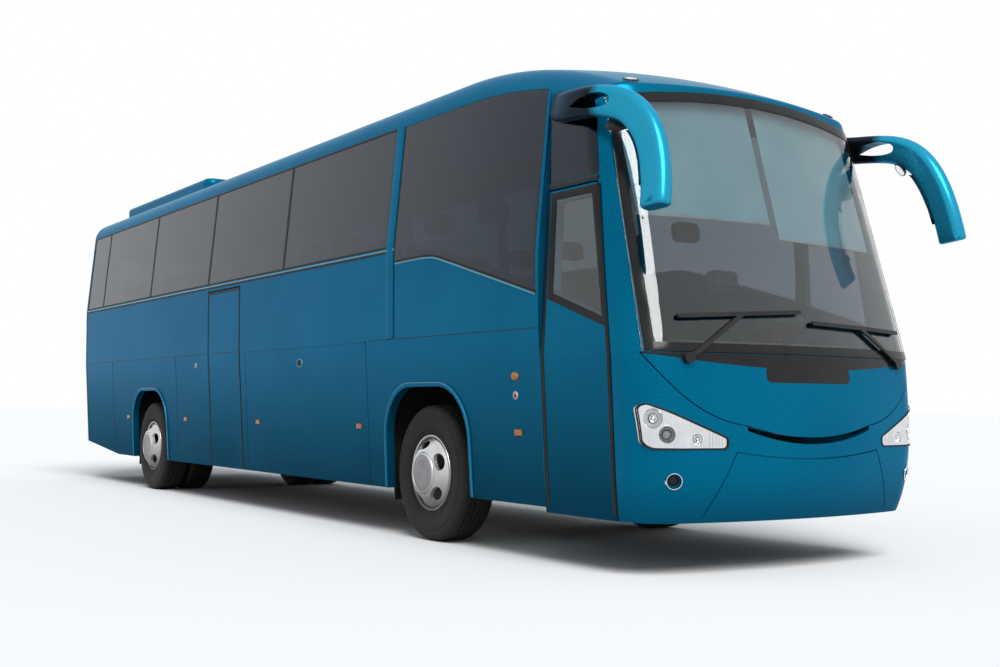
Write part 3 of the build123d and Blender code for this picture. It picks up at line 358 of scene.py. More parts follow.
def revolve(bm, profile, matrix, around=64, wide=1.0):
    """Profile of (radius, height) turned about the matrix's Z; wide stretches it along X."""
    rows = []
    for r, h in profile:
        if r < 1e-6:
            rows.append([bm.verts.new(matrix @ Vector((0, 0, h)))])
            continue
        turns = [2 * math.pi * k / around for k in range(around)]
        ring = [Vector((r * wide * math.cos(t), r * math.sin(t), h)) for t in turns]
        rows.append([bm.verts.new(matrix @ p) for p in ring])
    for a, b in zip(rows, rows[1:]):
        for k in range(around):
            n = (k + 1) % around
            ring = [a[k % len(a)], a[n % len(a)], b[n % len(b)], b[k % len(b)]]
            ring = list(dict.fromkeys(ring))
            if len(ring) > 2:
                bm.faces.new(ring)


def turned(name, profile, origin, axis, mat, body, around=64, wide=1.0):
    matrix = frame_on(origin, axis)
    mesh = mesh_from(name, lambda bm: revolve(bm, profile, matrix, around, wide))
    return add_piece(name, mesh, mat, body)


# The skin, met by rays from outside

def skin(*names):
    verts, faces = [], []
    for name in names:
        mesh = NODES[name].data
        base = len(verts)
        verts += [v.co.copy() for v in mesh.vertices]
        faces += [[base + k for k in p.vertices] for p in mesh.polygons]
    return BVHTree.FromPolygons(verts, faces)


SKIN = skin("side_wall_right", "side_wall_left", "roof", "front_cap", "front_bumper", "service_flap",
            "rear_cap", "luggage_flap_right", "luggage_flap_left_front", "luggage_flap_left_rear",
            "engine_door", "mid_door", "front_door", "windscreen", "side_glass", "front_door_glass",
            "headlamp_lenses", "cowl_panel", "rear_glass")
FAR = 9.0
STEP = 0.011
PROBES = ((0, 0), (0, STEP), (0, -STEP), (STEP, 0), (-STEP, 0))


def outermost(starts, direction):
    """The ray hit that lies furthest out, so that a narrow gap between panels isn't followed."""
    hits = [SKIN.ray_cast(s, direction) for s in starts]
    hits = [h for h in hits if h[0] is not None]
    best = min(hits, key=lambda h: h[0].dot(direction))
    normal = best[1] if best[1].dot(direction) < 0 else -best[1]
    return best[0], normal


def on_side(st, z, side):
    starts = [Vector((at(st) + dx, side * FAR, z + dz)) for dx, dz in PROBES]
    hit, normal = outermost(starts, Vector((0, -side, 0)))
    return Vector((at(st), hit.y, z)), normal


def on_front(y, z):
    starts = [Vector((FAR, y + dy, z + dz)) for dy, dz in PROBES]
    hit, normal = outermost(starts, Vector((-1, 0, 0)))
    return Vector((hit.x, y, z)), normal


def on_rear(y, z):
    hit, normal = outermost([Vector((-FAR, y, z))], Vector((1, 0, 0)))
    return hit, normal


def refine(points, pitch=0.08, closed=False):
    """Points along the polyline no further apart than the pitch."""
    ends = list(zip(points, points[1:] + points[:1])) if closed else list(zip(points, points[1:]))
    line = []
    for a, b in ends:
        n = max(1, math.ceil(math.dist(a, b) / pitch))
        line += [tuple(p + (q - p) * k / n for p, q in zip(a, b)) for k in range(n)]
    return line if closed else line + [points[-1]]


def smooth_line(points, steps=6):
    """Catmull-Rom line through the points."""
    line = []
    for k in range(len(points) - 1):
        p0, p1 = points[max(k - 1, 0)], points[k]
        p2, p3 = points[k + 1], points[min(k + 2, len(points) - 1)]
        for s in range(steps):
            t = s / steps
            line.append(tuple(
                0.5 * (2 * b + (c - a) * t + (2 * a - 5 * b + 4 * c - d) * t * t
                       + (3 * b - a - 3 * c + d) * t ** 3)
                for a, b, c, d in zip(p0, p1, p2, p3)))
    return line + [points[-1]]


STRIP_SECTION = [(-0.5, -0.5), (-0.5, 0.55), (-0.36, 0.92), (0, 1), (0.36, 0.92), (0.5, 0.55), (0.5, -0.5)]


def strip(bm, seats, width, lift, closed=False):
    """Crowned moulding of that width along (point, normal) seats, standing lift proud of the skin."""
    rows = []
    count = len(seats)
    for k, (p, n) in enumerate(seats):
        before = seats[(k - 1) % count if closed else max(k - 1, 0)][0]
        after = seats[(k + 1) % count if closed else min(k + 1, count - 1)][0]
        along = (after - before).normalized()
        across = n.cross(along).normalized()
        corner = 1.0
        if 0 < k < count - 1 or closed:
            half = ((p - before).normalized() + (after - p).normalized()).length / 2
            corner = min(1.35, 1 / max(half, 0.5))
        section = [p + across * (u * width * corner) + n * (h * lift) for u, h in STRIP_SECTION]
        rows.append([bm.verts.new(q) for q in section])
    size = len(STRIP_SECTION)
    pairs = list(zip(rows, rows[1:])) + ([(rows[-1], rows[0])] if closed else [])
    for a, b in pairs:
        for j in range(size):
            bm.faces.new((a[j], a[(j + 1) % size], b[(j + 1) % size], b[j]))
    if not closed:
        bm.faces.new(rows[0])
        bm.faces.new(rows[-1])


def moulding(name, lines, width, lift, mat, body, closed=False):
    """One piece of mouldings; each line is a list of seats."""
    def build(bm):
        for line in lines:
            strip(bm, line, width, lift, closed)
    return add_piece(name, mesh_from(name, build), mat, body)


def side_line(points, side, closed=False, pitch=0.10):
    return [on_side(st, z, side) for st, z in refine(points, pitch, closed)]


def front_line(points, closed=False, pitch=0.05):
    return [on_front(y, z) for y, z in refine(points, pitch, closed)]


# Camera, light and floor

turn, pitch, roll = (math.radians(v) for v in (CAMERA_TURN, CAMERA_PITCH, CAMERA_ROLL))
right = Vector((math.cos(turn), math.sin(turn), 0))
ahead = Vector((-math.sin(turn) * math.cos(pitch), math.cos(turn) * math.cos(pitch), math.sin(pitch)))
up = right.cross(ahead)
tilted = right * math.cos(roll) + up * math.sin(roll), up * math.cos(roll) - right * math.sin(roll)
camera = bpy.data.objects.new("camera", bpy.data.cameras.new("camera"))
camera.matrix_world = Matrix((*tilted, -ahead)).transposed().to_4x4()
camera.matrix_world.translation = CAMERA_AT
camera.data.sensor_fit = "HORIZONTAL"
camera.data.sensor_width = SENSOR
camera.data.lens = SENSOR * FOCAL_PX / IMAGE_W
camera.data.clip_end = 400
bpy.context.scene.collection.objects.link(camera)
bpy.context.scene.camera = camera
bpy.context.scene.view_settings.view_transform = "Standard"


def shown_white(nodes, links, plain, white):
    """The white socket for camera, glossy and transmission rays, else the plain one."""
    path = nodes.new("ShaderNodeLightPath")
    seen = path.outputs["Is Camera Ray"]
    for ray in ("Is Glossy Ray", "Is Transmission Ray"):
        either = nodes.new("ShaderNodeMath")
        either.operation = "MAXIMUM"
        links.new(seen, either.inputs[0])
        links.new(path.outputs[ray], either.inputs[1])
        seen = either.outputs["Value"]
    return blend_colour(nodes, links, seen, plain, white)


world = bpy.data.worlds.new("studio")
bpy.context.scene.world = world
world.use_nodes = True
wn, wl = world.node_tree.nodes, world.node_tree.links
wl.new(shown_white(wn, wl, (0.38, 0.40, 0.42), (1.0, 1.0, 1.0)), wn["Background"].inputs["Color"])
wn["Background"].inputs["Strength"].default_value = 1.0


def sun(name, travel, power, spread_angle):
    """Soft distant lamp whose light goes along travel."""
    lamp = bpy.data.lights.new(name, "SUN")
    lamp.energy = power
    lamp.angle = math.radians(spread_angle)
    obj = bpy.data.objects.new(name, lamp)
    obj.rotation_euler = Vector(travel).to_track_quat("-Z", "Y").to_euler()
    bpy.context.scene.collection.objects.link(obj)


sun("key", (-0.80, 0.22, -0.9), 2.7, 36)

floor_mesh = mesh_from("floor", lambda bm: bmesh.ops.create_grid(bm, x_segments=8, y_segments=8, size=160))
floor = bpy.data.objects.new("floor", floor_mesh)
bpy.context.scene.collection.objects.link(floor)
pale = material("floor_pale", (0.34, 0.34, 0.34), (0.36, 0.36, 0.36), 0.9, grain=0.25, bump=0.05,
                bump_grain=30, level=0.0)
fn, fl = pale.node_tree.nodes, pale.node_tree.links
plain_floor = fn["Principled BSDF"].inputs["Base Color"].links[0].from_socket
fl.new(shown_white(fn, fl, plain_floor, (0.95, 0.95, 0.95)), fn["Principled BSDF"].inputs["Base Color"])
floor_mesh.materials.append(pale)


# Tyres: rounded shoulders with notched edges, and grooves between the ribs

SHOULDER_NOTCHES = 60
# Half a section from the bead to the tread's middle: radius, distance from the middle
TYRE_HALF = [(0.291, 0.118), (0.300, 0.128), (0.318, 0.134), (0.324, 0.130), (0.330, 0.136), (0.370, 0.143),
             (0.410, 0.1474), (0.440, 0.1472), (0.446, 0.1440), (0.452, 0.1462), (0.480, 0.141),
             (0.497, 0.134), (0.508, 0.124), (0.5135, 0.112), (0.515, 0.100), (0.515, 0.074),
             (0.504, 0.072), (0.504, 0.064), (0.515, 0.062), (0.515, 0.032), (0.504, 0.030),
             (0.504, 0.022), (0.515, 0.020)]
NOTCHED = range(10, 14)
NOTCH_DEEP = 0.009


def tyre(bm, x, y):
    profile = TYRE_HALF + [(r, -h) for r, h in reversed(TYRE_HALF)]
    notched = set(NOTCHED) | {len(profile) - 1 - k for k in NOTCHED}
    around = SHOULDER_NOTCHES * 4
    rows = []
    for k, (r, h) in enumerate(profile):
        row = []
        for j in range(around):
            t = 2 * math.pi * j / around
            deep = NOTCH_DEEP if k in notched and j % 4 == 0 else 0
            row.append(bm.verts.new((x + (r - deep) * math.cos(t), y + h, AXLE_Z + (r - deep) * math.sin(t))))
        rows.append(row)
    for a, b in zip(rows, rows[1:] + rows[:1]):
        for j in range(around):
            n = (j + 1) % around
            bm.faces.new((a[j], a[n], b[n], b[j]))


# Wheel covers: a domed sheet with five ovals round a raised cap, inside a rolled rim edge

COVER_R, COVER_IN, CAP_R = 0.264, 0.158, 0.153
COVER_SINK, COVER_DOME = 0.012, 0.082
OVALS, OVAL_TURN = 5, math.radians(26)
OVAL_U, OVAL_V = 0.52, 0.62
OVAL_DEEP, OVAL_TAPER = 0.026, 0.95
LONG_SIDE, SHORT_SIDE, OVAL_RINGS = 24, 12, 7


def dome(r):
    """Height of the cover over its edge at a radius."""
    t = (COVER_R - r) / (COVER_R - COVER_IN)
    return COVER_DOME * math.sin(min(1, max(0, t)) * math.pi / 2)


def cover_point(matrix, u, v, sector, sink=0.0):
    """Point of the cover where u runs round one sector and v out from the cap."""
    r = COVER_IN + (COVER_R - COVER_IN) * (v + 1) / 2
    t = OVAL_TURN + (sector + u / 2) * 2 * math.pi / OVALS
    return matrix @ Vector((r * math.cos(t), r * math.sin(t), dome(r) - sink))


def sector_edge():
    """Points round the edge of one sector in u and v."""
    us = [-1 + 2 * k / LONG_SIDE for k in range(LONG_SIDE)]
    vs = [-1 + 2 * k / SHORT_SIDE for k in range(SHORT_SIDE)]
    return [(u, -1) for u in us] + [(1, v) for v in vs] + [(-u, 1) for u in us] + [(-1, -v) for v in vs]


def cover(bm, matrix):
    edge = sector_edge()
    for sector in range(OVALS):
        rows = []
        for ring in range(OVAL_RINGS + 1):
            f = ring / OVAL_RINGS
            row = []
            for u, v in edge:
                t = math.atan2(v, u)
                a, b = OVAL_U * math.cos(t), OVAL_V * math.sin(t)
                row.append(bm.verts.new(cover_point(matrix, a + (u - a) * f, b + (v - b) * f, sector)))
            rows.append(row)
        lips = []
        for u, v in edge:
            t = math.atan2(v, u)
            a, b = OVAL_TAPER * OVAL_U * math.cos(t), OVAL_TAPER * OVAL_V * math.sin(t)
            lips.append(bm.verts.new(cover_point(matrix, a, b, sector, OVAL_DEEP)))
        rows = [lips] + rows
        for a, b in zip(rows, rows[1:]):
            for k in range(len(edge)):
                n = (k + 1) % len(edge)
                bm.faces.new((a[k], a[n], b[n], b[k]))
    revolve(bm, [(COVER_R, 0), (COVER_R + 0.002, -0.004), (COVER_R, -0.012)], matrix, LONG_SIDE * OVALS)


CAP_PROFILE = [(0, 0.088), (0.100, 0.088), (0.104, 0.090), (0.110, 0.090), (0.114, 0.088), (0.140, 0.089)]
CAP_EDGE = [(0.138, 0.086), (0.141, 0.092), (0.148, 0.092), (CAP_R, 0.087), (COVER_IN + 0.002, 0.070)]
RIM_EDGE = [(RIM_R - 0.020, -0.034), (RIM_R - 0.015, -0.006), (RIM_R - 0.010, 0.003), (RIM_R - 0.004, 0.003),
            (RIM_R - 0.001, -0.003), (RIM_R - 0.001, -0.020)]
WHEELS = [("front", FRONT_AXLE_X, (TYRE_Y,)), ("rear", REAR_AXLE_X, (TYRE_Y, TWIN_Y))]
for end, x, places in WHEELS:
    for hand, side in SIDES.items():
        body = f"wheel_{end}_{hand}"
        node = f"front_tyre_{hand}" if end == "front" else f"rear_tyres_{hand}"

        def tyres(bm):
            for y in places:
                tyre(bm, x, side * y)

        tread = add_piece(f"{end}_{hand}_tread", mesh_from(f"{end}_{hand}_tread", tyres), RUBBER, body)
        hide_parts(node)
        face = frame_on((x, side * (RIM_OUT - COVER_SINK), AXLE_Z), (0, side, 0))
        add_piece(f"{end}_{hand}_cover", mesh_from("cover", lambda bm: cover(bm, face)), STEEL, body)
        turned(f"{end}_{hand}_cap", CAP_PROFILE, face.translation, (0, side, 0), CAP_STEEL, body)
        turned(f"{end}_{hand}_cap_edge", CAP_EDGE, face.translation, (0, side, 0), STEEL, body)
        turned(f"{end}_{hand}_rim_edge", RIM_EDGE, (x, side * RIM_OUT, AXLE_Z), (0, side, 0), STEEL, body, 96)


# Trim on the sides

for hand, side in SIDES.items():
    belt = [(TAIL_ST, BELT_Z), (PILLAR_ST, BELT_Z)]
    under_belt = side_line([(s, z - 0.012) for s, z in belt], side)
    moulding(f"belt_seal_{hand}", [under_belt], BELT_SEAL_W, SEAL_LIFT, SEAL, "body")
    # The belt moulding in light teal: a real moulding with a painted highlight
    moulding(f"belt_trim_{hand}", [side_line(belt, side)], TRIM_W, TRIM_LIFT, PAINT_HIGHLIGHT, "body")
    wave = smooth_line(WAVE)
    over_wave = [on_side(s, z + 0.010, side) for s, z in wave]
    along_wave = [on_side(s, z - 0.004, side) for s, z in wave]
    moulding(f"wave_seal_{hand}", [over_wave], WAVE_SEAL_W, SEAL_LIFT, SEAL, "body")
    # The wave moulding in light teal: a real moulding with a painted highlight
    moulding(f"wave_trim_{hand}", [along_wave], TRIM_W, TRIM_LIFT, PAINT_HIGHLIGHT, "body")
    dividers = [side_line([(s, PANE_LOW_Z), (s, PANE_TOP_Z)], side) for s in PANE_ENDS[1:-1]]
    moulding(f"window_dividers_{hand}", dividers, DIVIDER_W, DIVIDER_LIFT, SEAL, "body")
    edges = [side_line([(PANE_ENDS[0], z), (PANE_ENDS[-1], z)], side) for z in (PANE_LOW_Z, PANE_TOP_Z)]
    edges += [side_line([(s, PANE_LOW_Z), (s, PANE_TOP_Z)], side) for s in (PANE_ENDS[0], PANE_ENDS[-1])]
    moulding(f"window_gasket_{hand}", edges, GASKET_W, GASKET_LIFT, SEAL, "body")
    groove = side_line([(PILLAR_ST, SEAM_Z), (PILLAR_ST, PANE_TOP_Z)], side)
    rear_seam = side_line([(TAIL_ST, z) for z in TAIL_SEAM_Z], side)
    column = side_line([(COLUMN_ST, SEAM_Z + 0.006), (COLUMN_ST, PANE_TOP_Z + 0.004)], side)
    moulding(f"pillar_column_{hand}", [column], COLUMN_W, COLUMN_LIFT, PAINT_ROOF, "body")
    service = [side_line([(s, SERVICE_LOW_Z), (s, SEAM_Z)], side) for s in SERVICE_SEAMS]
    moulding(f"side_seams_{hand}", [groove, rear_seam, *service], GROOVE_W, SEAM_LIFT, SEAL, "body")

SEAM_RUNS = {-1: [(-9.22, -4.63), (-0.92, 1.54)], 1: [(-9.22, -5.58), (-0.92, 1.54)]}
for hand, side in SIDES.items():
    runs = [side_line([(a, SEAM_Z), (b, SEAM_Z)], side) for a, b in SEAM_RUNS[side]]
    moulding(f"waist_seam_{hand}", runs, SEAM_W, SEAM_LIFT, SEAL, "body")
door_seam = side_line([(-4.56, SEAM_Z), (-3.73, SEAM_Z)], -1)
moulding("mid_door_seam", [door_seam], SEAM_W, SEAM_LIFT, SEAL, "mid_door")

# Door seals and the dark frame of the door's pane
rear_st = DOOR_REAR_ST + DOOR_SEAL_W / 2
rear_edge = side_line([(rear_st, 0.37), (rear_st, DOOR_TOP_Z - 0.01)], -1)
front_edge = side_line([(s - DOOR_SEAL_W / 2, z) for s, z in DOOR_FRONT_EDGE], -1)
moulding("front_door_seals", [rear_edge, front_edge], DOOR_SEAL_W, SEAL_LIFT, SEAL, "front_door")
pane_edge = side_line(DOOR_PANE, -1, True, 0.06)
moulding("front_door_pane_frame", [pane_edge], PANE_FRAME_W, PANE_FRAME_LIFT, SEAL, "front_door", True)
upright = (0.38, MID_DOOR_TOP_Z - 0.01)
upright_st = (MID_DOOR_ST[0] + 0.010, MID_DOOR_ST[1] - 0.010)
uprights = [side_line([(st, z) for z in upright], -1) for st in upright_st]
moulding("mid_door_seals", uprights, MID_SEAL_W, SEAL_LIFT, SEAL, "mid_door")
top_edge = side_line([(st, MID_DOOR_TOP_Z - 0.014) for st in MID_DOOR_ST], -1)
moulding("mid_door_top_seal", [top_edge], TOP_SEAL_W, SEAL_LIFT, SEAL, "mid_door")
header = side_line([(1.575, 2.482), (2.098, 2.482)], -1)
moulding("door_header", [header], HEADER_W, HEADER_LIFT, PLASTIC, "body")

# Dark borders of the screen
for hand, side in SIDES.items():
    border = [on_front(side * (y - 0.016), z) for y, z in refine(SCREEN_EDGE, 0.06)]
    sill = [on_front(side * y, SCREEN_LOW_Z) for y in SILL_Y]
    moulding(f"screen_border_{hand}", [border, sill], SCREEN_BORDER_W, FRIT_LIFT, FRIT, "body")
    crown = [on_front(side * y, z - 0.030) for y, z in refine(smooth_line(SCREEN_TOP), 0.06)]
    moulding(f"screen_band_{hand}", [crown], SCREEN_BAND_W, FRIT_LIFT, FRIT, "body")


# Headlamps: a thin dark border, bowls with ringed bulbs and flutes toward the tip
def rounded(points, radii, steps=6):
    """Closed outline with each corner rounded by its radius."""
    line = []
    for k, corner in enumerate(points):
        p, a, b = Vector(corner), Vector(points[k - 1]), Vector(points[(k + 1) % len(points)])
        u, v = (a - p).normalized(), (b - p).normalized()
        half = u.angle(v) / 2
        centre = p + (u + v).normalized() * radii[k] / math.sin(half)
        run = radii[k] / math.tan(half)
        start, end = p + u * run - centre, p + v * run - centre
        line += [tuple(centre + start.lerp(end, s / steps).normalized() * radii[k]) for s in range(steps + 1)]
    return line


LENS_DEEP = 0.0100
# Section of a bowl's ring, out from its mouth, and of a bulb in shares of the bowl's radius
LAMP_RING = [(0.005, -0.003), (0.004, 0.002), (-0.001, 0.0025), (-0.005, -0.006)]
BULB = [(0, 0.36), (0.18, 0.32), (0.32, 0.18), (0.40, 0), (0.42, -0.2)]
BULB_FINISH = (CHROME, GREY, CHROME)
FLUTES = [0.735, 0.757, 0.779, 0.801, 0.823]
FLUTE_LOW_Z, FLUTE_MARGIN = 0.796, 0.016
for hand, side in SIDES.items():
    outline = [(side * y, z) for y, z in rounded(HEADLAMP, HEADLAMP_R)]
    moulding(f"headlamp_border_{hand}", [front_line(outline, True, 0.03)], 0.010, 0.003, SEAL, "body", True)
    for k, (st, y, z, r) in enumerate(LAMP_BOWLS):
        seat, normal = on_front(side * y, z)
        deep = (seat - Vector((at(st), side * y, z))).dot(normal) - LENS_DEEP
        mouth = math.sqrt(max(r * r - deep * deep, 0.25 * r * r))
        ring = [(mouth + dr, h) for dr, h in LAMP_RING]
        turned(f"headlamp_ring_{hand}_{k}", ring, seat - normal * LENS_DEEP, normal, CHROME, "body", 48)
        bulb = [(u * r, h * r) for u, h in BULB]
        foot = seat - normal * (LENS_DEEP + deep + 0.55 * r)
        turned(f"headlamp_bulb_{hand}_{k}", bulb, foot, normal, BULB_FINISH[k], "body", 40)
    flutes = []
    (tip_y, tip_z), (far_y, far_z) = HEADLAMP[3], HEADLAMP[2]
    for y in FLUTES:
        top = tip_z + (y - tip_y) * (far_z - tip_z) / (far_y - tip_y) - FLUTE_MARGIN
        line = [on_front(side * y, FLUTE_LOW_Z + (top - FLUTE_LOW_Z) * t / 4) for t in range(5)]
        flutes.append([(p - n * LENS_DEEP, n) for p, n in line])
    moulding(f"headlamp_flutes_{hand}", flutes, 0.010, 0.0025, CHROME, "body")

# Fog lamps: a dark lens deep in a round recess with a thin bright edge
FOG_Y, FOG_Z, FOG_R = 1.040, 0.589, 0.046
FOG_RECESS_R, FOG_PROUD = 0.065, 0.004
FOG_RING = [(FOG_R + 0.005, 0.000), (FOG_R + 0.004, 0.004), (FOG_R, 0.004), (FOG_R - 0.003, -0.002),
            (FOG_R - 0.003, -0.012)]
FOG_TUBE = [(FOG_R - 0.003, -0.004), (FOG_R - 0.008, -0.020), (FOG_R - 0.012, -0.021)]
FOG_LENS = [(0, -0.012), (0.016, -0.0135), (0.028, -0.0175), (0.034, -0.023)]
FOG_PARTS = [("ring", FOG_RING, CHROME), ("tube", FOG_TUBE, PAINT_FRONT), ("lens", FOG_LENS, FRIT)]
for hand, side in SIDES.items():
    rim_points = [on_front(side * (FOG_Y + FOG_RECESS_R * math.cos(t)), FOG_Z + FOG_RECESS_R * math.sin(t))
                  for t in (0.0, 1.57, 3.14, 4.71)]
    centre = sum((p for p, n in rim_points), Vector()) / 4
    normal = sum((n for p, n in rim_points), Vector()).normalized()
    for part, profile, finish in FOG_PARTS:
        turned(f"fog_{part}_{hand}", profile, centre + normal * FOG_PROUD, normal, finish, "body")

# Mirrors: arms with a slot through the black root and a rounded lower end, glass on the rear faces
MIRROR_PATH = [(1.617, 1.148, 3.032), (2.066, 1.469, 2.834), (2.728, 1.163, 3.154), (2.823, 1.339, 2.184)]
MIRROR_SLOT = [(1.99, 2.925), (2.10, 2.957), (2.22, 2.968), (2.32, 2.955), (2.385, 2.925), (2.40, 2.898),
               (2.38, 2.872), (2.30, 2.866), (2.18, 2.880), (2.07, 2.905), (1.99, 2.925)]
MIRROR_END_R = 0.020


def along_mirror(t, side):
    """Middle of a mirror arm at a share of its length."""
    weights = ((1 - t) ** 3, 3 * t * (1 - t) ** 2, 3 * t * t * (1 - t), t ** 3)
    st, y, z = (sum(w * p[k] for w, p in zip(weights, MIRROR_PATH)) for k in range(3))
    return Vector((at(st), side * y, z))


def mirror_arm(bm, side):
    bm.from_mesh(NODES["mirror_arms"].data)
    bmesh.ops.delete(bm, geom=[v for v in bm.verts if v.co.y * side < 0], context="VERTS")
    bmesh.ops.remove_doubles(bm, verts=bm.verts, dist=1e-5)
    low = min(v.co.z for v in bm.verts)
    end = [f for f in bm.faces if abs(f.normal.z) > 0.9 and f.calc_center_median().z < low + 0.05]
    foot = bmesh.ops.dissolve_faces(bm, faces=end)["region"]
    rim = list({e for f in foot for e in f.edges})
    bmesh.ops.bevel(bm, geom=rim, offset=MIRROR_END_R, segments=4, profile=0.5, affect="EDGES")


def slot_prism(bm, side):
    outline = smooth_line(MIRROR_SLOT, 4)[:-1]
    near = [bm.verts.new((at(st), side * 1.0, z)) for st, z in outline]
    far = [bm.verts.new((at(st), side * 1.7, z)) for st, z in outline]
    bm.faces.new(near)
    bm.faces.new(far)
    for k in range(len(outline)):
        n = (k + 1) % len(outline)
        bm.faces.new((near[k], near[n], far[n], far[k]))


def cut(mesh, tool):
    """Mesh less the tool's mesh."""
    pair = [bpy.data.objects.new("cut", m) for m in (mesh, tool)]
    for obj in pair:
        bpy.context.scene.collection.objects.link(obj)
    step = pair[0].modifiers.new("cut", "BOOLEAN")
    step.operation, step.solver, step.object = "DIFFERENCE", "EXACT", pair[1]
    bpy.context.view_layer.update()
    result = bpy.data.meshes.new_from_object(pair[0].evaluated_get(bpy.context.evaluated_depsgraph_get()))
    for obj in pair:
        bpy.data.objects.remove(obj)
    return result


# Mirror glass: where it starts on the arm and how far it runs, in shares of the arm's length
GLASS_FROM, GLASS_RUN, GLASS_ROWS = 0.76, 0.19, 12
KERB_GLASS = [(0, 0.006), (0.030, 0.005), (0.044, 0.001), (0.047, -0.004)]
KERB_BACK = [(0.050, 0.002), (0.052, -0.004), (0.046, -0.020), (0, -0.030)]
for hand, side in SIDES.items():
    solid = mesh_from("mirror_arm", lambda bm: mirror_arm(bm, side))
    slotted = cut(solid, mesh_from("slot", lambda bm: slot_prism(bm, side)))
    arm = add_piece(f"mirror_arm_{hand}", slotted, MIRROR_LIT_PAINT, "body", 40)
    if hand == "right":
        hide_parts("mirror_arms")
    tree = skin("mirror_arms")
    glass = []
    for k in range(GLASS_ROWS + 1):
        middle = along_mirror(GLASS_FROM + GLASS_RUN * k / GLASS_ROWS, side)
        hit, normal = tree.ray_cast(middle - Vector((0.5, 0, 0)), Vector((1, 0, 0)))[:2]
        glass.append((hit, normal if normal.x < 0 else -normal))
    moulding(f"mirror_glass_border_{hand}", [glass], 0.092, 0.002, SEAL, "body")
    moulding(f"mirror_glass_{hand}", [glass[1:-1]], 0.080, 0.004, CHROME, "body")
    under = along_mirror(0.60, side) + Vector((-0.07, 0, -0.105))
    looking = Vector((-0.45, -side * 0.55, -0.55))
    turned(f"kerb_mirror_glass_{hand}", KERB_GLASS, under, looking, CHROME, "body", 48, 1.5)
    turned(f"kerb_mirror_back_{hand}", KERB_BACK, under, looking, PLASTIC, "body", 48, 1.5)

# Roof marker lamps over the screen
ROOF_LAMP_Y, ROOF_LAMP_Z = 0.918, 3.150
DOME_LAMP = [(0, 0.012), (0.012, 0.0115), (0.022, 0.008), (0.027, 0.002), (0.028, -0.004)]
LAMP_BASE = [(0.027, 0.004), (0.033, 0.003), (0.036, -0.004)]
for hand, side in SIDES.items():
    seat, normal = on_front(side * ROOF_LAMP_Y, ROOF_LAMP_Z)
    turned(f"roof_marker_{hand}", DOME_LAMP, seat, normal, WHITE_LENS, "body", 48, 1.7)
    turned(f"roof_marker_base_{hand}", LAMP_BASE, seat, normal, SEAL, "body", 48, 1.6)

# Wheel arch lips; half widths at the foot and at the top
ARCH_HALF, ARCH_TOP, ARCH_R, ARCH_FOOT = (0.642, 0.622), 1.187, 0.417, 0.372
SKIRT_LOW, SKIRT_HALF, SKIRT_LEAN = 0.366, 1.200, 0.0575


def arch_line(x, side, out):
    """Seats round an arch on the flat lower side, moved out from its edge."""
    low, high = ARCH_HALF[0] + out, ARCH_HALF[1] + out
    top = ARCH_TOP + out
    corners = [(x - low, ARCH_FOOT), (x - high, top), (x + high, top), (x + low, ARCH_FOOT)]
    outline = rounded(corners, [0.001, ARCH_R + out, ARCH_R + out, 0.001], 12)[12:-12]
    normal = Vector((0, side, -SKIRT_LEAN)).normalized()
    return [(Vector((px, side * (SKIRT_HALF + (z - SKIRT_LOW) * SKIRT_LEAN), z)), normal)
            for px, z in refine(outline, 0.06)]


for hand, side in SIDES.items():
    arches = (FRONT_AXLE_X, REAR_AXLE_X)
    lips = [arch_line(x, side, 0) for x in arches]
    moulding(f"arch_lips_{hand}", lips, LIP_W, LIP_LIFT, PAINT_ROOF, "body")
    # A thin light strip just outside each lip: painted highlight
    edges = [arch_line(x, side, LIP_HIGHLIGHT_OUT) for x in arches]
    moulding(f"arch_edges_{hand}", edges, LIP_HIGHLIGHT_W, LIP_HIGHLIGHT_LIFT, PAINT_HIGHLIGHT, "body")

# Engine door louvres and roof unit grilles
ROOF_SKIN = skin("roof", "roof_units", "front_cap")


def on_roof(st, y):
    hit, normal = ROOF_SKIN.ray_cast(Vector((at(st), y, FAR)), Vector((0, 0, -1)))[:2]
    return hit, normal if normal.z > 0 else -normal


LOUVRE_Y, LOUVRE_LOW_Z, LOUVRE_PITCH, LOUVRES = (-0.70, -0.35, 0, 0.35, 0.70), 0.86, 0.055, 9
slats = [[on_rear(y, LOUVRE_LOW_Z + LOUVRE_PITCH * k) for y in LOUVRE_Y] for k in range(LOUVRES)]
moulding("engine_door_louvres", slats, 0.030, 0.008, PLASTIC, "engine_door")
FAN_RING = [(0.300, 0.000), (0.298, 0.010), (0.280, 0.014), (0.268, 0.004), (0.262, -0.010)]
FAN_ST, FAN_R, BAR_PITCH = (-8.30, -7.45, -6.60), 0.270, 0.058
HATCH_ST, HATCH_X, HATCH_Y = (-4.60, -0.70), 0.36, 0.27
for k, st in enumerate(FAN_ST):
    seat, normal = on_roof(st, 0)
    turned(f"roof_fan_ring_{k}", FAN_RING, seat, normal, PLASTIC, "body")
    bars = []
    for j in range(-4, 5):
        reach = math.sqrt(FAN_R ** 2 - (j * BAR_PITCH) ** 2)
        bars.append([on_roof(st + j * BAR_PITCH, y) for y in (-reach, 0, reach)])
    moulding(f"roof_fan_guard_{k}", bars, 0.012, 0.006, PLASTIC, "body")
corners = [(-HATCH_X, -HATCH_Y), (HATCH_X, -HATCH_Y), (HATCH_X, HATCH_Y), (-HATCH_X, HATCH_Y)]
for k, st in enumerate(HATCH_ST):
    rim = [on_roof(st + dx, y) for dx, y in refine(corners, 0.2, True)]
    moulding(f"roof_hatch_rim_{k}", [rim], 0.024, 0.005, SEAL, "body", True)

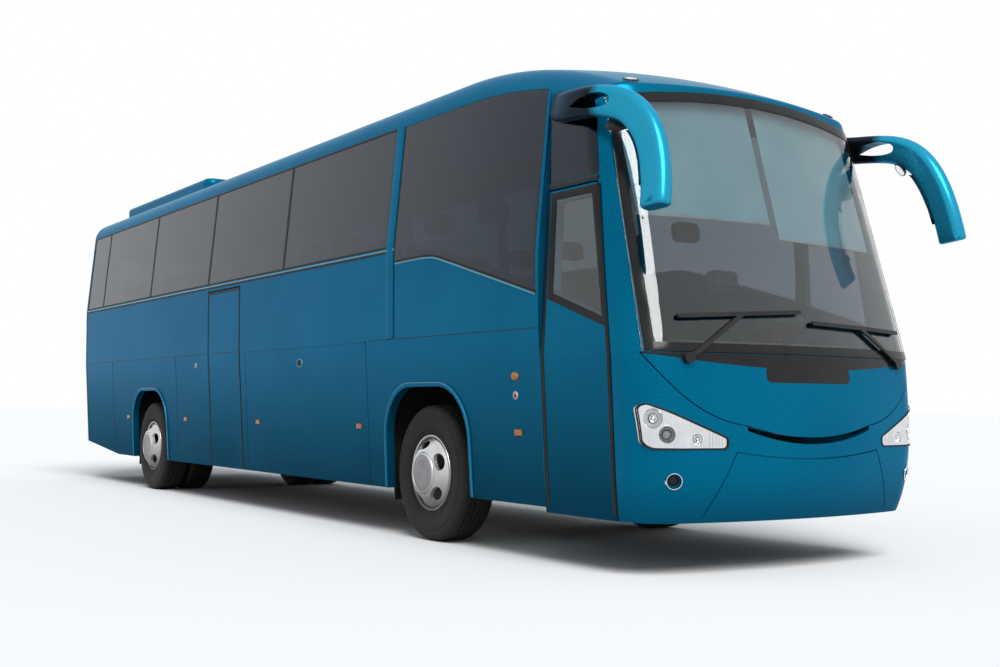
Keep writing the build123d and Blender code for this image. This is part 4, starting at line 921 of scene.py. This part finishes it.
# Small fittings on the sides
BUTTON = [(0, 0.007), (0.010, 0.007), (0.014, 0.004), (0.016, 0.004), (0.020, 0.007), (0.026, 0.006),
          (0.029, 0.0)]
BUTTON_CAP = [(0, 0.011), (0.010, 0.010), (0.014, 0.006), (0.015, 0.003)]
LOCK = [(0, 0.004), (0.010, 0.004), (0.013, 0.002), (0.014, -0.001)]
HANDLE_RIM = [(0.042, -0.001), (0.040, 0.004), (0.034, 0.004), (0.031, 0.001)]
HANDLE_DISH = [(0, 0.001), (0.030, 0.0015), (0.032, 0.0025)]
HANDLE_Z, LOCK_Z = 1.40, 0.52
# Station and height of the release buttons, indicators and small dark marks low on the door side
RELEASES = [("front", 1.25, 1.10), ("mid", -4.96, 1.43)]
INDICATOR_ST, INDICATOR_Z = 1.25, 1.23
VENTS = [(-8.65, 0.62), (-7.62, 0.58), (-5.03, 0.55)]
INDICATOR = [(0, 0.016), (0.012, 0.0155), (0.022, 0.012), (0.028, 0.005), (0.029, -0.002)]


def fitting(name, profile, st, z, side, mat, body, wide=1.0):
    seat, normal = on_side(st, z, side)
    return turned(name, profile, seat, normal, mat, body, 40, wide)


for place, st, z in RELEASES:
    fitting(f"door_release_{place}", BUTTON, st, z, -1, WHITE_LENS, "body")
    fitting(f"door_release_cap_{place}", BUTTON_CAP, st, z, -1, RED, "body")
for hand, side in SIDES.items():
    fitting(f"side_indicator_{hand}", INDICATOR, INDICATOR_ST, INDICATOR_Z, side, AMBER, "body", 1.5)
# Side of each luggage flap and the stations of its two locks
FLAP_LOCKS = {"luggage_flap_right": (-1, -3.30, -1.20), "luggage_flap_left_front": (1, -2.90, -1.15),
              "luggage_flap_left_rear": (1, -5.30, -3.40)}
for body, (side, a, b) in FLAP_LOCKS.items():
    for k, st in enumerate((a, b)):
        fitting(f"{body}_lock_{k}", LOCK, st, LOCK_Z, side, SEAL, body)
    # The handle's rim in light teal: painted highlight
    fitting(f"{body}_handle", HANDLE_RIM, (a + b) / 2, HANDLE_Z, side, PAINT_HIGHLIGHT, body, 1.5)
    fitting(f"{body}_handle_dish", HANDLE_DISH, (a + b) / 2, HANDLE_Z, side, SEAL, body, 1.5)
for k, (st, z) in enumerate(VENTS):
    fitting(f"side_vent_{k}", LOCK, st, z, -1, SEAL, "body", 1.4)


# Side markers: those on a luggage flap lift with it

def marker_body(x, y):
    """The body under a marker: the flap that it sits on, or the coach's own."""
    for flap in FLAP_LOCKS:
        low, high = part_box(flap)
        if low.x < x < high.x and y * (low.y + high.y) > 0:
            return flap
    return "body"


def markers_on(bm, body):
    bm.from_mesh(NODES["side_markers"].data)
    others = [v for v in bm.verts if marker_body(v.co.x, v.co.y) != body]
    bmesh.ops.delete(bm, geom=others, context="VERTS")


for body in ("body", *FLAP_LOCKS):
    lamps = mesh_from("markers", lambda bm: markers_on(bm, body))
    markers = add_piece(f"side_markers_{body}", lamps, AMBER, body)
    if body == "body":
        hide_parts("side_markers")


# Seats: padded cushion and back for each place, joined by row

SEAT_DECK_Z, SEAT_IN, SEAT_OUT = 1.400, 0.270, 1.170
SEAT_PITCH, SEAT_FIRST = 0.80, 0.70
SEAT_HALF = (SEAT_OUT - SEAT_IN) / 4 - 0.008
SEAT_GRID = 14
SUPER = 4.5
DRIVER_X, DRIVER_Y = at(1.45), 0.56
# Cushion, back and head pad: place ahead of the seat's own, height, half sizes, lean, crown, sewn channels
BENCH_PADS = [(0.190, 1.835, (0.215, SEAT_HALF, 0.062), 0.040, 0.02, 0),
              (-0.125, 2.170, (0.062, SEAT_HALF, 0.330), -0.185, 0.25, 3),
              (-0.195, 2.470, (0.055, SEAT_HALF * 0.62, 0.085), -0.185, 0.20, 0)]
DRIVER_PADS = [(0.190, 1.400, (0.200, 0.225, 0.062), 0.040, 0.02, 0),
               (-0.070, 1.700, (0.062, 0.220, 0.270), -0.120, 0.25, 3),
               (-0.100, 1.985, (0.055, 0.140, 0.070), -0.120, 0.20, 0)]


def pad(bm, centre, size, lean=0.0, crown=0.18, channels=0):
    """Crowned block with rounded sides and sewn channels across its front face, leaned about Y."""
    before = set(bm.verts)
    cube = bmesh.ops.create_cube(bm, size=2.0)["verts"]
    edges = list({e for v in cube for e in v.link_edges})
    bmesh.ops.subdivide_edges(bm, edges=edges, cuts=SEAT_GRID, use_grid_fill=True)
    verts = [v for v in bm.verts if v not in before]
    tilt = Matrix.Rotation(lean, 3, "Y")
    for v in verts:
        p = v.co
        length = (abs(p.x) ** SUPER + abs(p.y) ** SUPER + abs(p.z) ** SUPER) ** (1 / SUPER)
        q = p / length
        swell = 1 + crown * (1 - q.y ** 2) * (1 - min(1, abs(q.z)) ** 2)
        x = q.x * swell / (1 + crown)
        if channels and q.x > 0.2:
            x -= 0.10 * max(0, math.cos(q.z * channels * math.pi)) ** 10
        v.co = centre + tilt @ Vector((x * size[0], q.y * size[1], q.z * size[2]))


def seat(bm, x, y, pads):
    """One place made of its pads, facing +X."""
    for dx, z, size, lean, crown, channels in pads:
        pad(bm, Vector((x + dx, y, z)), size, lean, crown, channels)


def row_y(side):
    """Middles of the two places of a bench."""
    mid, quarter = (SEAT_IN + SEAT_OUT) / 2, (SEAT_OUT - SEAT_IN) / 4
    return side * (mid - quarter), side * (mid + quarter)


def seat_rows():
    """Places of the benches, from the middles of the seats' solids."""
    mesh = NODES["passenger_seats"].data
    fronts = sorted({(round(v.co.x - at(0), 3), 1 if v.co.y > 0 else -1) for v in mesh.vertices
                     if abs(v.co.z - SEAT_DECK_Z) < 1e-3})
    places = {}
    for st, side in fronts:
        places.setdefault((side, round((st - SEAT_FIRST) / SEAT_PITCH - 0.2)), []).append(st)
    return [(side, min(sts)) for (side, k), sts in places.items()]


for k, (side, st) in enumerate(seat_rows()):
    def bench(bm):
        for y in row_y(side):
            seat(bm, at(st), y, BENCH_PADS)

    piece = add_piece(f"bench_{k}", mesh_from("bench", bench), MOQUETTE, "body", 60)
    if k == 0:
        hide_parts("passenger_seats")

pads = mesh_from("driver_seat_pads", lambda bm: seat(bm, DRIVER_X, DRIVER_Y, DRIVER_PADS))
driver = add_piece("driver_seat_pads", pads, MOQUETTE, "body", 60)
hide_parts("driver_seat")


# Sun blinds: cloth drawn down inside the screen between a rail and a hem bar; ends are y, y, low z and top z
BLIND_ENDS = {"right": (-1.039, -0.031, 2.241, 3.065), "left": (0.031, 1.039, 2.141, 3.065)}
BLIND_COLUMNS, BLIND_ROWS = 56, 40
BLIND_DEEP, BLIND_WAVE = 0.0018, 0.0010
BLIND_SKIN = skin("sun_blinds")
# Bars of a blind: place up the cloth, width, depth
BLIND_BARS = {"rail": (1.0, 0.030, 0.016), "hem": (0.0, 0.024, 0.006)}
BAR_BEHIND = Vector((0.006, 0, 0))


def blind_point(u, v, ends):
    """Point of a blind, u across and v up, in the middle of its cloth."""
    y, z = ends[0] + (ends[1] - ends[0]) * u, ends[2] + (ends[3] - ends[2]) * v
    hit = BLIND_SKIN.ray_cast(Vector((FAR, y, z)), Vector((-1, 0, 0)))[0]
    sway = BLIND_WAVE * math.sin(u * 23) * (1 - v)
    return hit - Vector((BLIND_DEEP + sway, 0, 0))


def blind_cloth(bm, ends):
    us = [i / BLIND_COLUMNS for i in range(BLIND_COLUMNS + 1)]
    vs = [j / BLIND_ROWS for j in range(BLIND_ROWS + 1)]
    rows = [[bm.verts.new(blind_point(u, v, ends)) for u in us] for v in vs]
    for a, b in zip(rows, rows[1:]):
        for i in range(BLIND_COLUMNS):
            bm.faces.new((a[i], a[i + 1], b[i + 1], b[i]))


for hand, ends in BLIND_ENDS.items():
    inward = Vector((-1, 0, -0.3)).normalized()
    for part, (v, wide, lift) in BLIND_BARS.items():
        line = [(blind_point(i / 20, v, ends) - BAR_BEHIND, inward) for i in range(21)]
        moulding(f"blind_{part}_{hand}", [line], wide, lift, GREY, "body")
    cloth = add_piece(f"blind_{hand}", mesh_from("blind", lambda bm: blind_cloth(bm, ends)), BLIND, "body")
    if hand == "right":
        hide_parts("sun_blinds")
